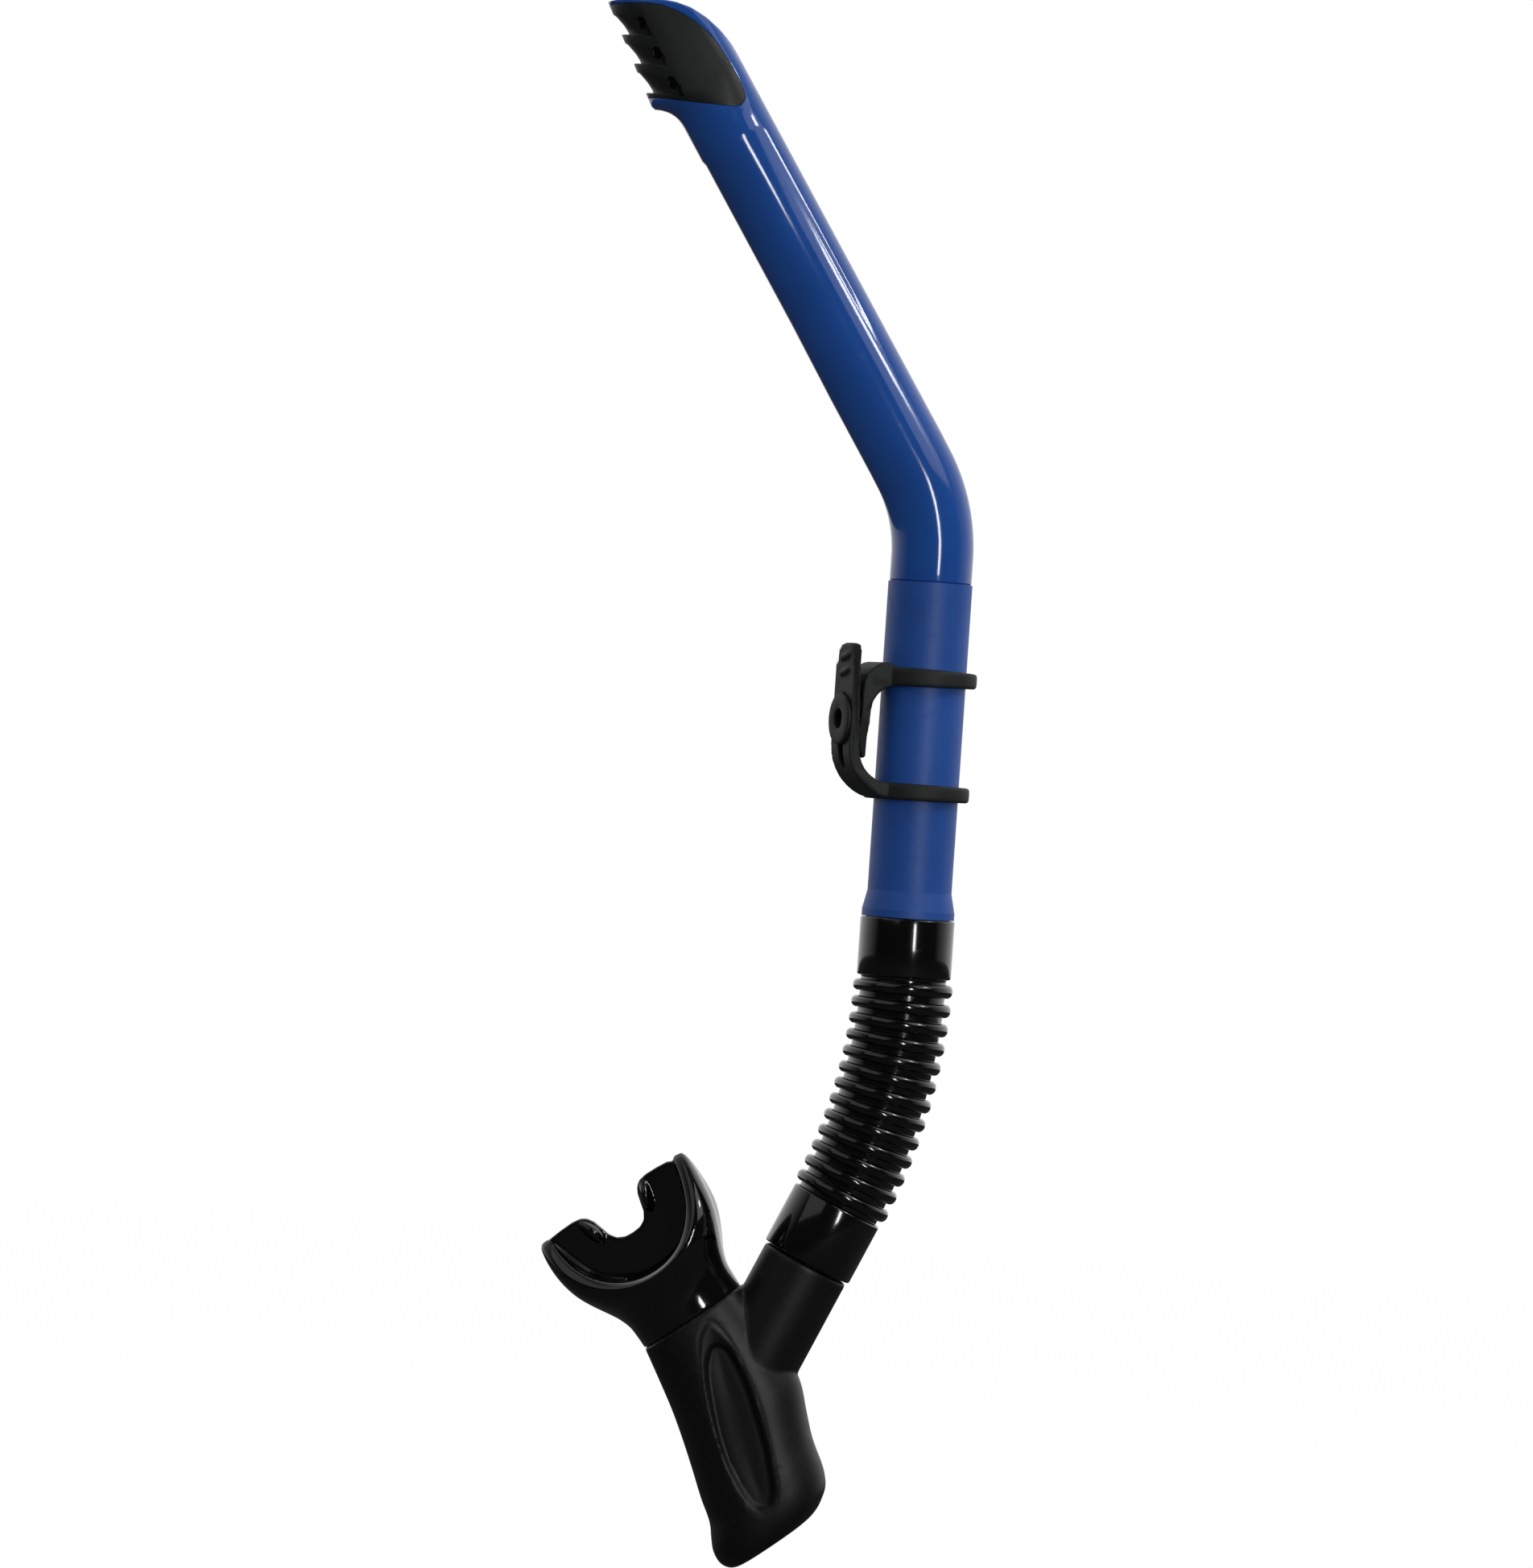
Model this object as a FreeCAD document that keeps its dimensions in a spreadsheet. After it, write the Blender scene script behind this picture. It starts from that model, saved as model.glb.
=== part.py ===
import FreeCAD, Part
import math
import os

import Sketcher
from FreeCAD import Placement, Rotation, Vector

"""Snorkel with a corrugated drop-away hose, a purge housing and a two-loop mask strap keeper.

Millimetres. The straight lower tube stands on +Z and the snorkel lies in the XZ plane, mouthpiece
towards -X. The origin is on the tube's axis, midway between the two rings of the keeper, where the
mask strap holds the snorkel.
"""

doc = FreeCAD.newDocument("snorkel")

# ---------------------------------------------------------------------------- driving dimensions

SIZES = [
    # fits
    ("running_gap", 0.05, "radial gap of turning and sliding fits"),
    ("seat_gap", 0.3, "gap between faces of pieces that move apart"),
    ("glue_gap", 0.03, "gap of a glued seat"),
    # straight lower tube
    ("lower_od", 24.0, "outside diameter"),
    ("lower_wall", 1.5, "wall"),
    ("lower_bore", "=lower_od - 2 * lower_wall", "bore"),
    ("lower_top", 43.5, "height of its upper end"),
    ("lower_foot", 52.0, "depth of its collar's lower face below the origin"),
    ("collar_step", 1.2, "how far the flared collar stands out from the tube"),
    ("collar_od", "=lower_od + 2 * collar_step", "outside diameter of the flared collar"),
    ("collar_height", 2.0, "straight height of the collar"),
    ("flare_height", 5.5, "height of the flare above the collar"),
    ("hose_spigot", 16.0, "length that enters the hose or holds it"),
    # bent upper tube
    ("upper_od", 23.4, "outside diameter"),
    ("upper_wall", 1.5, "wall"),
    ("upper_bore", "=upper_od - 2 * upper_wall", "bore"),
    ("upper_spigot", 16.0, "length that enters the lower tube"),
    ("spigot_wall", 1.25, "wall of the spigot"),
    ("spigot_od", "=lower_bore - 2 * running_gap", "outside diameter of the spigot"),
    ("upper_spigot_bore", "=spigot_od - 2 * spigot_wall", "bore of the spigot"),
    ("bend_start", 7.3, "straight length above the lower tube"),
    ("bend_radius", 48.0, "centreline radius of the bend"),
    ("bend_angle", 32.2, "turn of the bend in degrees"),
    ("barrel", 103.0, "straight length from the bend to the hood's floor"),
    # hood, in the barrel's own frame
    ("hood_width", 24.4, "width across the snorkel's plane"),
    ("hood_back", 26.0, "straight back of the hood above its floor"),
    ("hood_crown", 35.0, "radius of the crown"),
    ("hood_rise", 46.6, "height of the crown's end above the floor"),
    ("nose_rise", 54.3, "height of the nose tip above the floor"),
    ("nose_reach", 13.8, "overhang of the nose tip from the axis"),
    ("nose_bulge", 2.4, "how far the middle of the front stands out past its ends"),
    ("lip_reach", 17.0, "overhang of the lower lip from the axis"),
    ("lip_rise", 21.4, "height of the lower lip above the floor"),
    ("lip_root", 12.0, "height where the lower lip leaves the barrel"),
    ("lip_thick", 2.6, "height of the lower lip's front"),
    ("rim_back", 3.5, "thickness of the back rim"),
    ("rim_top", 2.2, "thickness of the top rim"),
    ("cheek", 1.6, "thickness of the guard's cheeks"),
    ("guard_wall", 1.4, "thickness of the guard's walls"),
    ("port_height", 5.8, "height of one air port"),
    ("port_root", 7.0, "overhang of the ports' inner ends from the axis"),
    ("port_rise", 24.1, "height of the lowest port's inner end"),
    ("fin_pitch", 9.7, "distance from fin to fin along the barrel"),
    ("fin_slope", 35.0, "angle of the fins to the barrel's cross section, in degrees"),
    # corrugated hose
    ("cuff_wall", 1.4, "wall of the cuffs"),
    ("cuff_od", "=lower_od + 2 * (running_gap + cuff_wall)", "outside diameter of the cuffs"),
    ("cuff_length", 18.0, "length of the lower cuff"),
    ("hose_radius", 162.0, "centreline radius at rest"),
    ("hose_angle", 24.5, "bend at rest in degrees"),
    ("core_step", 0.7, "how far the hose stands out from the tube between the crests"),
    ("hose_wall", 1.5, "wall between the crests"),
    ("crest_height", 1.6, "height of a crest"),
    ("crest_round", 1.5, "radius of one crest"),
    ("hose_core", "=lower_od + 2 * core_step", "outside diameter between the crests"),
    ("hose_bore", "=hose_core - 2 * hose_wall", "bore"),
    ("crest_od", "=hose_core + 2 * crest_height", "outside diameter over the corrugations"),
    ("crests", 13, "number of corrugations"),
    # purge housing, in the frame of the hose's lower end
    ("stub_step", 0.8, "how far the inlet stub stands out from its neck in the hose"),
    ("stub_wall", 2.0, "wall of the stub's neck"),
    ("stub_od", "=lower_od + 2 * stub_step", "outside diameter of the inlet stub"),
    ("stub_bore", "=lower_od - 2 * stub_wall", "bore of the inlet stub"),
    ("stub_length", 58.0, "length of the inlet stub below the hose"),
    ("housing_wall", 3.7, "wall of the barrel"),
    ("mouth_width", 33.0, "width of the seam with the mouthpiece"),
    ("mouth_depth", 26.0, "depth of the seam with the mouthpiece"),
    ("body_width", 36.4, "width of the barrel"),
    ("body_depth", 28.6, "depth of the barrel"),
    ("base_width", 36.4, "width of the base"),
    ("base_depth", 30.0, "depth of the base"),
    ("base_round", 5.0, "rounding of the base's edge"),
    ("recess_length", 52.0, "length of the finger recess"),
    ("recess_width", 15.5, "width of the finger recess"),
    ("recess_depth", 1.6, "depth of the finger recess"),
    # purge valve
    ("valve_od", 16.0, "diameter of the valve disc"),
    ("valve_thick", 0.7, "thickness of the valve disc"),
    ("valve_stem", 2.4, "diameter of the valve's stem"),
    ("valve_travel", 1.5, "how far the valve opens"),
    ("seat_od", 20.0, "diameter of the valve seat"),
    ("seat_thick", 1.6, "thickness of the valve seat"),
    ("cover_thick", 1.6, "thickness of the purge cover"),
    # mouthpiece
    ("neck_wall", 1.8, "wall of the neck"),
    ("mouth_spigot", 12.0, "length of the spigot inside the neck"),
    ("flange_width", 51.2, "width of the lip flange"),
    ("flange_sag", 23.0, "depth of the lip flange's arch"),
    ("flange_height", 34.0, "height of the lip flange"),
    ("flange_wall", 2.2, "thickness of the lip flange"),
    ("arch_centre", 37.5, "distance of the arch's centre from the seam"),
    ("bite_top", 40.6, "distance of the bite plate's edge from the seam"),
    ("bite_thick", 2.8, "thickness of the bite plate"),
    ("notch_width", 16.5, "width of the notch in the bite plate"),
    ("notch_floor", 29.5, "distance of the notch's floor from the seam"),
    ("air_width", 22.0, "width of the air opening"),
    ("air_height", 14.5, "height of the air opening"),
    # mask strap keeper
    ("keeper_turn", 22.0, "angle of the keeper about the tube at rest, in degrees"),
    ("ring_spacing", 32.5, "distance between the two rings"),
    ("ring_height", 5.0, "height of one ring"),
    ("ring_thick", 3.1, "radial thickness of one ring"),
    ("strap_gap", 6.9, "clear gap for the mask strap"),
    ("strap_width", 14.0, "width of the keeper's straps"),
    ("rear_thick", 2.0, "thickness of the rear strap"),
    ("rear_tail", 6.0, "depth of the rear strap's end below the origin"),
    ("tongue_thick", 2.2, "thickness of the tongue"),
    ("tongue_top", 25.0, "height of the tongue's end"),
    ("strap_bend", 5.5, "inner bend radius of the straps"),
    ("stud_height", 3.2, "height of the stud"),
    ("stud_od", 5.5, "diameter of the stud"),
    ("slot_gap", 0.35, "gap each side of the stud in the slot"),
    ("slot_low", 11.6, "depth of the slot's lower end below the origin"),
    ("slot_high", 10.6, "height of the slot's upper end"),
    ("button_od", 14.7, "diameter of the button"),
    ("button_thick", 1.5, "thickness of the button"),
]

sheet = doc.addObject("Spreadsheet::Sheet", "Sizes")
for row, (alias, value, note) in enumerate(SIZES, start=1):
    sheet.set(f"A{row}", alias.replace("_", " "))
    sheet.set(f"B{row}", str(value))
    sheet.set(f"C{row}", note)
    sheet.setAlias(f"B{row}", alias)
doc.recompute()


def size(alias):
    """The value of one driving dimension."""
    return float(sheet.get(alias))


def of(text):
    """An expression with each driving dimension's name led by the sheet's name."""
    words = sorted((alias for alias, _, _ in SIZES), key=len, reverse=True)
    out = ""
    position = 0
    while position < len(text):
        letter = text[position]
        word_start = position == 0 or not (text[position - 1].isalnum() or text[position - 1] == "_")
        if letter.isalpha() and word_start:
            end = position
            while end < len(text) and (text[end].isalnum() or text[end] == "_"):
                end += 1
            word = text[position:end]
            out += ("Sizes." + word) if word in words else word
            position = end
        else:
            out += letter
            position += 1
    return out


def value_of(text):
    """The number that an expression gives now."""
    result = sheet.evalExpression(of(text))
    return float(getattr(result, "Value", result))


# ------------------------------------------------------------------------------- frames in space

UP = Vector(0, 0, 1)
ACROSS = Vector(0, 1, 0)


def lean(x, z, degrees):
    """A frame at (x, 0, z) whose Z axis leans by degrees from +Z towards +X."""
    return Placement(Vector(x, 0, z), Rotation(ACROSS, degrees))


bend = math.radians(size("bend_angle"))
bend_z = size("lower_top") + size("bend_start")
barrel_frame = lean(
    -size("bend_radius") * (1 - math.cos(bend)),
    bend_z + size("bend_radius") * math.sin(bend),
    -size("bend_angle"),
)
hose_top = -size("lower_foot") - size("hose_spigot")
hose_bend = math.radians(size("hose_angle"))
inlet_frame = lean(
    -size("hose_radius") * (1 - math.cos(hose_bend)),
    hose_top - size("hose_radius") * math.sin(hose_bend),
    size("hose_angle"),
)
keeper_frame = Placement(Vector(0, 0, 0), Rotation(UP, size("keeper_turn")))


# ------------------------------------------------------------------------------ building helpers


def new_body(label, frame=None):
    """A PartDesign body, one for each moulded piece."""
    body = doc.addObject("PartDesign::Body", label)
    body.Label = label
    if frame:
        body.Placement = frame
    return body


def new_sketch(body, name, role="XZ_Plane", lift=None):
    """A sketch on one of the body's own planes, lifted off it by an expression."""
    sketch = body.newObject("Sketcher::SketchObject", name)
    plane = [item for item in body.Origin.OriginFeatures if item.Role == role][0]
    sketch.AttachmentSupport = [(plane, "")]
    sketch.MapMode = "FlatFace"
    if lift:
        sketch.setExpression("AttachmentOffset.Base.z", of(lift))
    return sketch


def pin_point(sketch, edge, end, across, along, name):
    """Holds one end of an edge at a place given by two expressions."""
    for kind, text, tag in (("DistanceX", across, "x"), ("DistanceY", along, "y")):
        sketch.addConstraint(Sketcher.Constraint(kind, -1, 1, edge, end, value_of(text)))
        last = sketch.ConstraintCount - 1
        sketch.renameConstraint(last, f"{name}_{tag}")
        sketch.setExpression(f"Constraints.{name}_{tag}", of(text))


def outline(sketch, corners, arcs=None, closed=True):
    """Straight edges from corner to corner; arcs maps an edge's number to (radius, turns left)."""
    arcs = arcs or {}
    points = [Vector(value_of(x), value_of(z), 0) for x, z in corners]
    count = len(corners) if closed else len(corners) - 1
    ends = []
    for i in range(count):
        first = points[i]
        last = points[(i + 1) % len(points)]
        if i in arcs:
            radius = value_of(arcs[i][0])
            left = arcs[i][1]
            chord = last - first
            middle = (first + last) * 0.5
            side = Vector(-chord.y, chord.x, 0)
            side.normalize()
            offset = math.sqrt(max(radius**2 - (chord.Length / 2) ** 2, 0))
            centre = middle + side * (offset if left else -offset)
            begin, end = (first, last) if left else (last, first)
            start_angle = math.atan2(begin.y - centre.y, begin.x - centre.x)
            end_angle = math.atan2(end.y - centre.y, end.x - centre.x)
            circle = Part.Circle(centre, UP, radius)
            sketch.addGeometry(Part.ArcOfCircle(circle, start_angle, end_angle), False)
            ends.append((1, 2) if left else (2, 1))
        else:
            sketch.addGeometry(Part.LineSegment(first, last), False)
            ends.append((1, 2))
    for i in range(count):
        pin_point(sketch, i, ends[i][0], corners[i][0], corners[i][1], f"corner{i}")
        if i in arcs:
            sketch.addConstraint(Sketcher.Constraint("Radius", i, value_of(arcs[i][0])))
            sketch.renameConstraint(sketch.ConstraintCount - 1, f"round{i}")
            sketch.setExpression(f"Constraints.round{i}", of(arcs[i][0]))
    for i in range(count if closed else count - 1):
        following = (i + 1) % count
        sketch.addConstraint(
            Sketcher.Constraint("Coincident", i, ends[i][1], following, ends[following][0])
        )
    if not closed:
        pin_point(sketch, count - 1, ends[-1][1], corners[-1][0], corners[-1][1], "finish")


def circle(sketch, diameter, across="0", along="0", name="ring"):
    """A circle whose diameter and centre are bound to the sheet."""
    centre = Vector(value_of(across), value_of(along), 0)
    edge = sketch.addGeometry(Part.Circle(centre, UP, value_of(diameter) / 2), False)
    sketch.addConstraint(Sketcher.Constraint("Diameter", edge, value_of(diameter)))
    sketch.renameConstraint(sketch.ConstraintCount - 1, f"{name}_diameter")
    sketch.setExpression(f"Constraints.{name}_diameter", of(diameter))
    pin_point(sketch, edge, 3, across, along, f"{name}_centre")


def pad(body, sketch, length, name, both_ways=True):
    """Thickens a sketch by an expression."""
    feature = body.newObject("PartDesign::Pad", name)
    feature.Profile = sketch
    feature.Midplane = both_ways
    feature.setExpression("Length", of(length))
    return feature


def pocket(body, sketch, length, name):
    """Cuts a sketch through the body, half of the length to each side of its plane."""
    feature = body.newObject("PartDesign::Pocket", name)
    feature.Profile = sketch
    feature.Midplane = True
    feature.setExpression("Length", of(length))
    return feature


def revolve(body, sketch, name):
    """Turns a half profile round the sketch's vertical axis."""
    feature = body.newObject("PartDesign::Revolution", name)
    feature.Profile = sketch
    feature.ReferenceAxis = (sketch, ["V_Axis"])
    feature.Angle = 360
    return feature


def pipe(body, kind, profile, path, name, edges):
    """Runs a profile along a path: kind is Additive or Subtractive."""
    feature = body.newObject(f"PartDesign::{kind}Pipe", name)
    feature.Profile = profile
    feature.Spine = (path, [f"Edge{i + 1}" for i in range(edges)])
    return feature


def oval(name, width, depth, frame):
    """An ellipse across a frame: width along its X axis, depth along Y."""
    curve = doc.addObject("Part::Ellipse", name)
    curve.setExpression("MajorRadius", of(f"({width}) / 2"))
    curve.setExpression("MinorRadius", of(f"({depth}) / 2"))
    curve.Placement = frame
    return curve


def loft(name, sections):
    """A solid through closed curves."""
    feature = doc.addObject("Part::Loft", name)
    feature.Sections = sections
    feature.Solid = True
    feature.Ruled = False
    return feature


def rod(name, diameter, length, frame):
    """A round bar along a frame's Z axis."""
    feature = doc.addObject("Part::Cylinder", name)
    feature.setExpression("Radius", of(f"({diameter}) / 2"))
    feature.setExpression("Height", of(length))
    feature.Placement = frame
    return feature


def block(name, along_x, along_y, along_z, frame):
    """A box centred on a frame in X and Y, standing on its Z = 0."""
    feature = doc.addObject("Part::Box", name)
    feature.setExpression("Length", of(along_x))
    feature.setExpression("Width", of(along_y))
    feature.setExpression("Height", of(along_z))
    centring = Placement(Vector(-value_of(along_x) / 2, -value_of(along_y) / 2, 0), Rotation())
    feature.Placement = frame.multiply(centring)
    return feature


def prism(name, curve, height):
    """A closed curve thickened by height to both sides of its plane."""
    feature = doc.addObject("Part::Extrusion", name)
    feature.Base = curve
    feature.DirMode = "Normal"
    feature.Solid = True
    feature.Symmetric = True
    feature.setExpression("LengthFwd", of(height))
    return feature


def join(name, pieces):
    """One solid from touching solids."""
    feature = doc.addObject("Part::MultiFuse", name)
    feature.Shapes = pieces
    feature.Refine = True
    return feature


def cut(name, base, tool):
    """A solid less another."""
    feature = doc.addObject("Part::Cut", name)
    feature.Base = base
    feature.Tool = tool
    return feature


def overlap(name, base, tool):
    """The space that two solids share."""
    feature = doc.addObject("Part::Common", name)
    feature.Base = base
    feature.Tool = tool
    return feature


def at(frame, x, z, degrees=0.0, y=0.0):
    """A frame at (x, y, z) of another frame, leaning by degrees from its Z towards its X."""
    return frame.multiply(Placement(Vector(x, y, z), Rotation(ACROSS, degrees)))


# ------------------------------------------------------------------------------------ the pieces


def make_lower_tube():
    """Straight tube with a socket at its top and a collar and hose spigot at its foot."""
    body = new_body("lower_tube")
    profile = new_sketch(body, "lower_tube_profile")
    outline(
        profile,
        [
            ("lower_bore / 2", "lower_top"),
            ("lower_od / 2", "lower_top"),
            ("lower_od / 2", "-lower_foot + collar_height + flare_height"),
            ("collar_od / 2", "-lower_foot + collar_height"),
            ("collar_od / 2", "-lower_foot"),
            ("lower_od / 2", "-lower_foot"),
            ("lower_od / 2", "-lower_foot - hose_spigot"),
            ("lower_bore / 2", "-lower_foot - hose_spigot"),
        ],
    )
    revolve(body, profile, "lower_tube_turned")
    return body


def tube_path(body, name, stretch):
    """The bent centreline, from the lower tube's top to the hood's floor plus a stretch."""
    path = new_sketch(body, name)
    slope = "bend_angle"
    run = f"(barrel + {stretch})"
    corner_x = f"bend_radius * (1 - cos({slope} * 1deg))"
    corner_z = f"lower_top + bend_start + bend_radius * sin({slope} * 1deg)"
    outline(
        path,
        [
            ("0", "lower_top + 2 * running_gap"),
            ("0", "lower_top + bend_start"),
            (f"-{corner_x}", corner_z),
            (f"-{corner_x} - {run} * sin({slope} * 1deg)", f"{corner_z} + {run} * cos({slope} * 1deg)"),
        ],
        arcs={1: ("bend_radius", True)},
        closed=False,
    )
    return path


def hood_point(reach, rise):
    """Expressions for a point of the hood: reach towards the front, rise above the floor."""
    corner_x = "bend_radius * (1 - cos(bend_angle * 1deg))"
    corner_z = "lower_top + bend_start + bend_radius * sin(bend_angle * 1deg)"
    along = f"(barrel + {rise})"
    x = f"-{corner_x} - {along} * sin(bend_angle * 1deg) - ({reach}) * cos(bend_angle * 1deg)"
    z = f"{corner_z} + {along} * cos(bend_angle * 1deg) - ({reach}) * sin(bend_angle * 1deg)"
    return (x, z)


def guard_corners(gap):
    """Corners of the space that the splash guard fills, less a gap all round."""
    back = f"-(upper_od / 2 - rim_back - {gap})"
    return [
        hood_point("nose_reach + 0.1", f"nose_rise - rim_top * 0.55 - {gap}"),
        hood_point("0.6", f"hood_rise - rim_top - {gap}"),
        hood_point(back, "hood_back"),
        hood_point(back, f"lip_root + {gap}"),
        hood_point("-upper_od / 2 + rim_back * 2", f"lip_root - 2.4 + {gap}"),
        hood_point("lip_reach - 0.7", f"lip_rise + lip_thick + {gap}"),
        hood_point("lip_reach", "lip_rise * 0.6 + nose_rise * 0.4"),
        hood_point("(lip_reach + nose_reach) / 2 + nose_bulge * 0.35", "lip_rise * 0.3 + nose_rise * 0.7"),
    ]


def make_upper_tube():
    """Bent tube with its hood: the crown rim, the back rim and the lower lip."""
    body = new_body("upper_tube")
    hood = new_sketch(body, "hood_outline")
    back = "-upper_od / 2"
    outline(
        hood,
        [
            hood_point(back, "4.0"),
            hood_point(back, "hood_back"),
            hood_point("0", "hood_rise"),
            hood_point("nose_reach", "nose_rise"),
            hood_point("lip_reach - 0.6", "lip_rise + lip_thick"),
            hood_point("lip_reach", "lip_rise"),
            hood_point("upper_od / 2", "lip_root + 4.8"),
            hood_point("upper_od / 2 - 0.4", "lip_root"),
            hood_point("upper_od / 2 - 3.0", "4.0"),
        ],
        arcs={1: ("hood_crown", True)},
    )
    pad(body, hood, "hood_width", "hood_block")
    path = tube_path(body, "tube_line", "9.0")
    skin = new_sketch(body, "tube_skin", "XY_Plane", "lower_top + 2 * running_gap")
    circle(skin, "upper_od")
    pipe(body, "Additive", skin, path, "tube_body", 3)
    spigot = new_sketch(body, "spigot_section", "XY_Plane", "lower_top - upper_spigot")
    circle(spigot, "spigot_od")
    pad(body, spigot, "upper_spigot + 0.5", "tube_spigot", both_ways=False)
    doc.recompute()
    cavity = new_sketch(body, "guard_space")
    outline(cavity, guard_corners("0"), arcs={1: ("hood_crown - rim_top", True)})
    pocket(body, cavity, "hood_width * 2", "guard_pocket")
    bore_path = tube_path(body, "bore_line", "28.0")
    bore = new_sketch(body, "bore_section", "XY_Plane", "lower_top + 2 * running_gap")
    circle(bore, "upper_bore")
    pipe(body, "Subtractive", bore, bore_path, "tube_bore", 3)
    drill = new_sketch(body, "spigot_bore_section", "XY_Plane", "lower_top")
    circle(drill, "upper_spigot_bore")
    pocket(body, drill, "upper_spigot * 2 + 2", "spigot_bore")
    return body


def make_splash_guard():
    """Black insert that fills the hood: cheeks, wall, and three pairs of ports between four fins."""
    body = new_body("splash_guard")
    shell = new_sketch(body, "guard_outline")
    outline(shell, guard_corners("glue_gap"), arcs={1: ("hood_crown - rim_top - glue_gap", True)})
    pad(body, shell, "hood_width - 0.4", "guard_block")
    hollow = new_sketch(body, "guard_hollow")
    outline(
        hollow,
        [
            hood_point("nose_reach - guard_wall * 4", "nose_rise - rim_top - guard_wall * 4"),
            hood_point("0.6", "hood_rise - rim_top - guard_wall * 2"),
            hood_point("-(upper_od / 2 - rim_back - guard_wall)", "hood_back - guard_wall"),
            hood_point("-(upper_od / 2 - rim_back - guard_wall)", "2.0"),
            hood_point("upper_od / 2 - 3.0", "2.0"),
            hood_point("lip_reach - guard_wall * 3", "lip_rise + lip_thick * 2"),
        ],
    )
    pocket(body, hollow, "hood_width - 0.4 - 2 * cheek", "guard_hollowed")
    ports = new_sketch(body, "air_ports")
    edge = 0
    for i in range(3):
        middle = f"(port_rise + fin_pitch * {i})"
        rear = [f"(port_root {sign} port_height / 2 * sin(fin_slope * 1deg))" for sign in "+-"]
        level = [f"({middle} {sign} port_height / 2 * cos(fin_slope * 1deg))" for sign in "-+"]
        run, climb = "upper_od * cos(fin_slope * 1deg)", "upper_od * sin(fin_slope * 1deg)"
        corners = [
            hood_point(f"{rear[0]} + {run}", f"{level[0]} + {climb}"),
            hood_point(rear[0], level[0]),
            hood_point(rear[1], level[1]),
            hood_point(f"{rear[1]} + {run}", f"{level[1]} + {climb}"),
        ]
        points = [Vector(value_of(x), value_of(z), 0) for x, z in corners]
        for k in range(4):
            sketch_edge = ports.addGeometry(Part.LineSegment(points[k], points[(k + 1) % 4]), False)
            pin_point(ports, sketch_edge, 1, corners[k][0], corners[k][1], f"port{i}_{k}")
        for k in range(4):
            ports.addConstraint(Sketcher.Constraint("Coincident", edge + k, 2, edge + (k + 1) % 4, 1))
        edge += 4
    pocket(body, ports, "hood_width * 2", "guard_ports")
    return body


def ring_profile(sketch, bore, outer, middle):
    """Section of one rubber ring about the tube."""
    outline(
        sketch,
        [
            (bore, f"{middle} - ring_height / 2"),
            (outer, f"{middle} - ring_height / 2"),
            (outer, f"{middle} + ring_height / 2"),
            (bore, f"{middle} + ring_height / 2"),
        ],
    )


RING_BORE = "lower_od / 2 + running_gap"
RING_OUTER = "lower_od / 2 + ring_thick"
REAR_INNER = "(lower_od / 2 + strap_gap)"
REAR_OUTER = "(lower_od / 2 + strap_gap + rear_thick)"
TONGUE_INNER = "(lower_od / 2 + strap_gap + rear_thick + seat_gap)"
TONGUE_OUTER = "(lower_od / 2 + strap_gap + rear_thick + seat_gap + tongue_thick)"


def strap_outline(sketch, inner, outer, ring_middle, end, sense):
    """J-shaped strap: leaves the ring level, turns, and runs along the tube to its end."""
    root = "(lower_od / 2 + ring_thick / 2)"
    near = f"{ring_middle} + {sense} * ring_height / 2 * 0.95"
    far = f"{ring_middle} - {sense} * ring_height / 2 * 0.95"
    outer_bend = f"(strap_bend + {outer} - {inner})"
    outline(
        sketch,
        [
            (f"-{root}", near),
            (f"-({inner} - strap_bend)", near),
            (f"-{inner}", f"{near} + {sense} * strap_bend"),
            (f"-{inner}", end),
            (f"-{outer}", end),
            (f"-{outer}", f"{far} + {sense} * {outer_bend}"),
            (f"-({outer} - {outer_bend})", far),
            (f"-{root}", far),
        ],
        arcs={
            1: ("strap_bend", sense == "-1"),
            5: (outer_bend, sense == "1"),
        },
    )


def clear_bore(body, name):
    """Opens the tube's place through the strap's root."""
    core = new_sketch(body, f"{name}_core", "XY_Plane")
    circle(core, "lower_od + 2 * running_gap")
    pocket(body, core, "ring_spacing * 3", f"{name}_bore")


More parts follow.
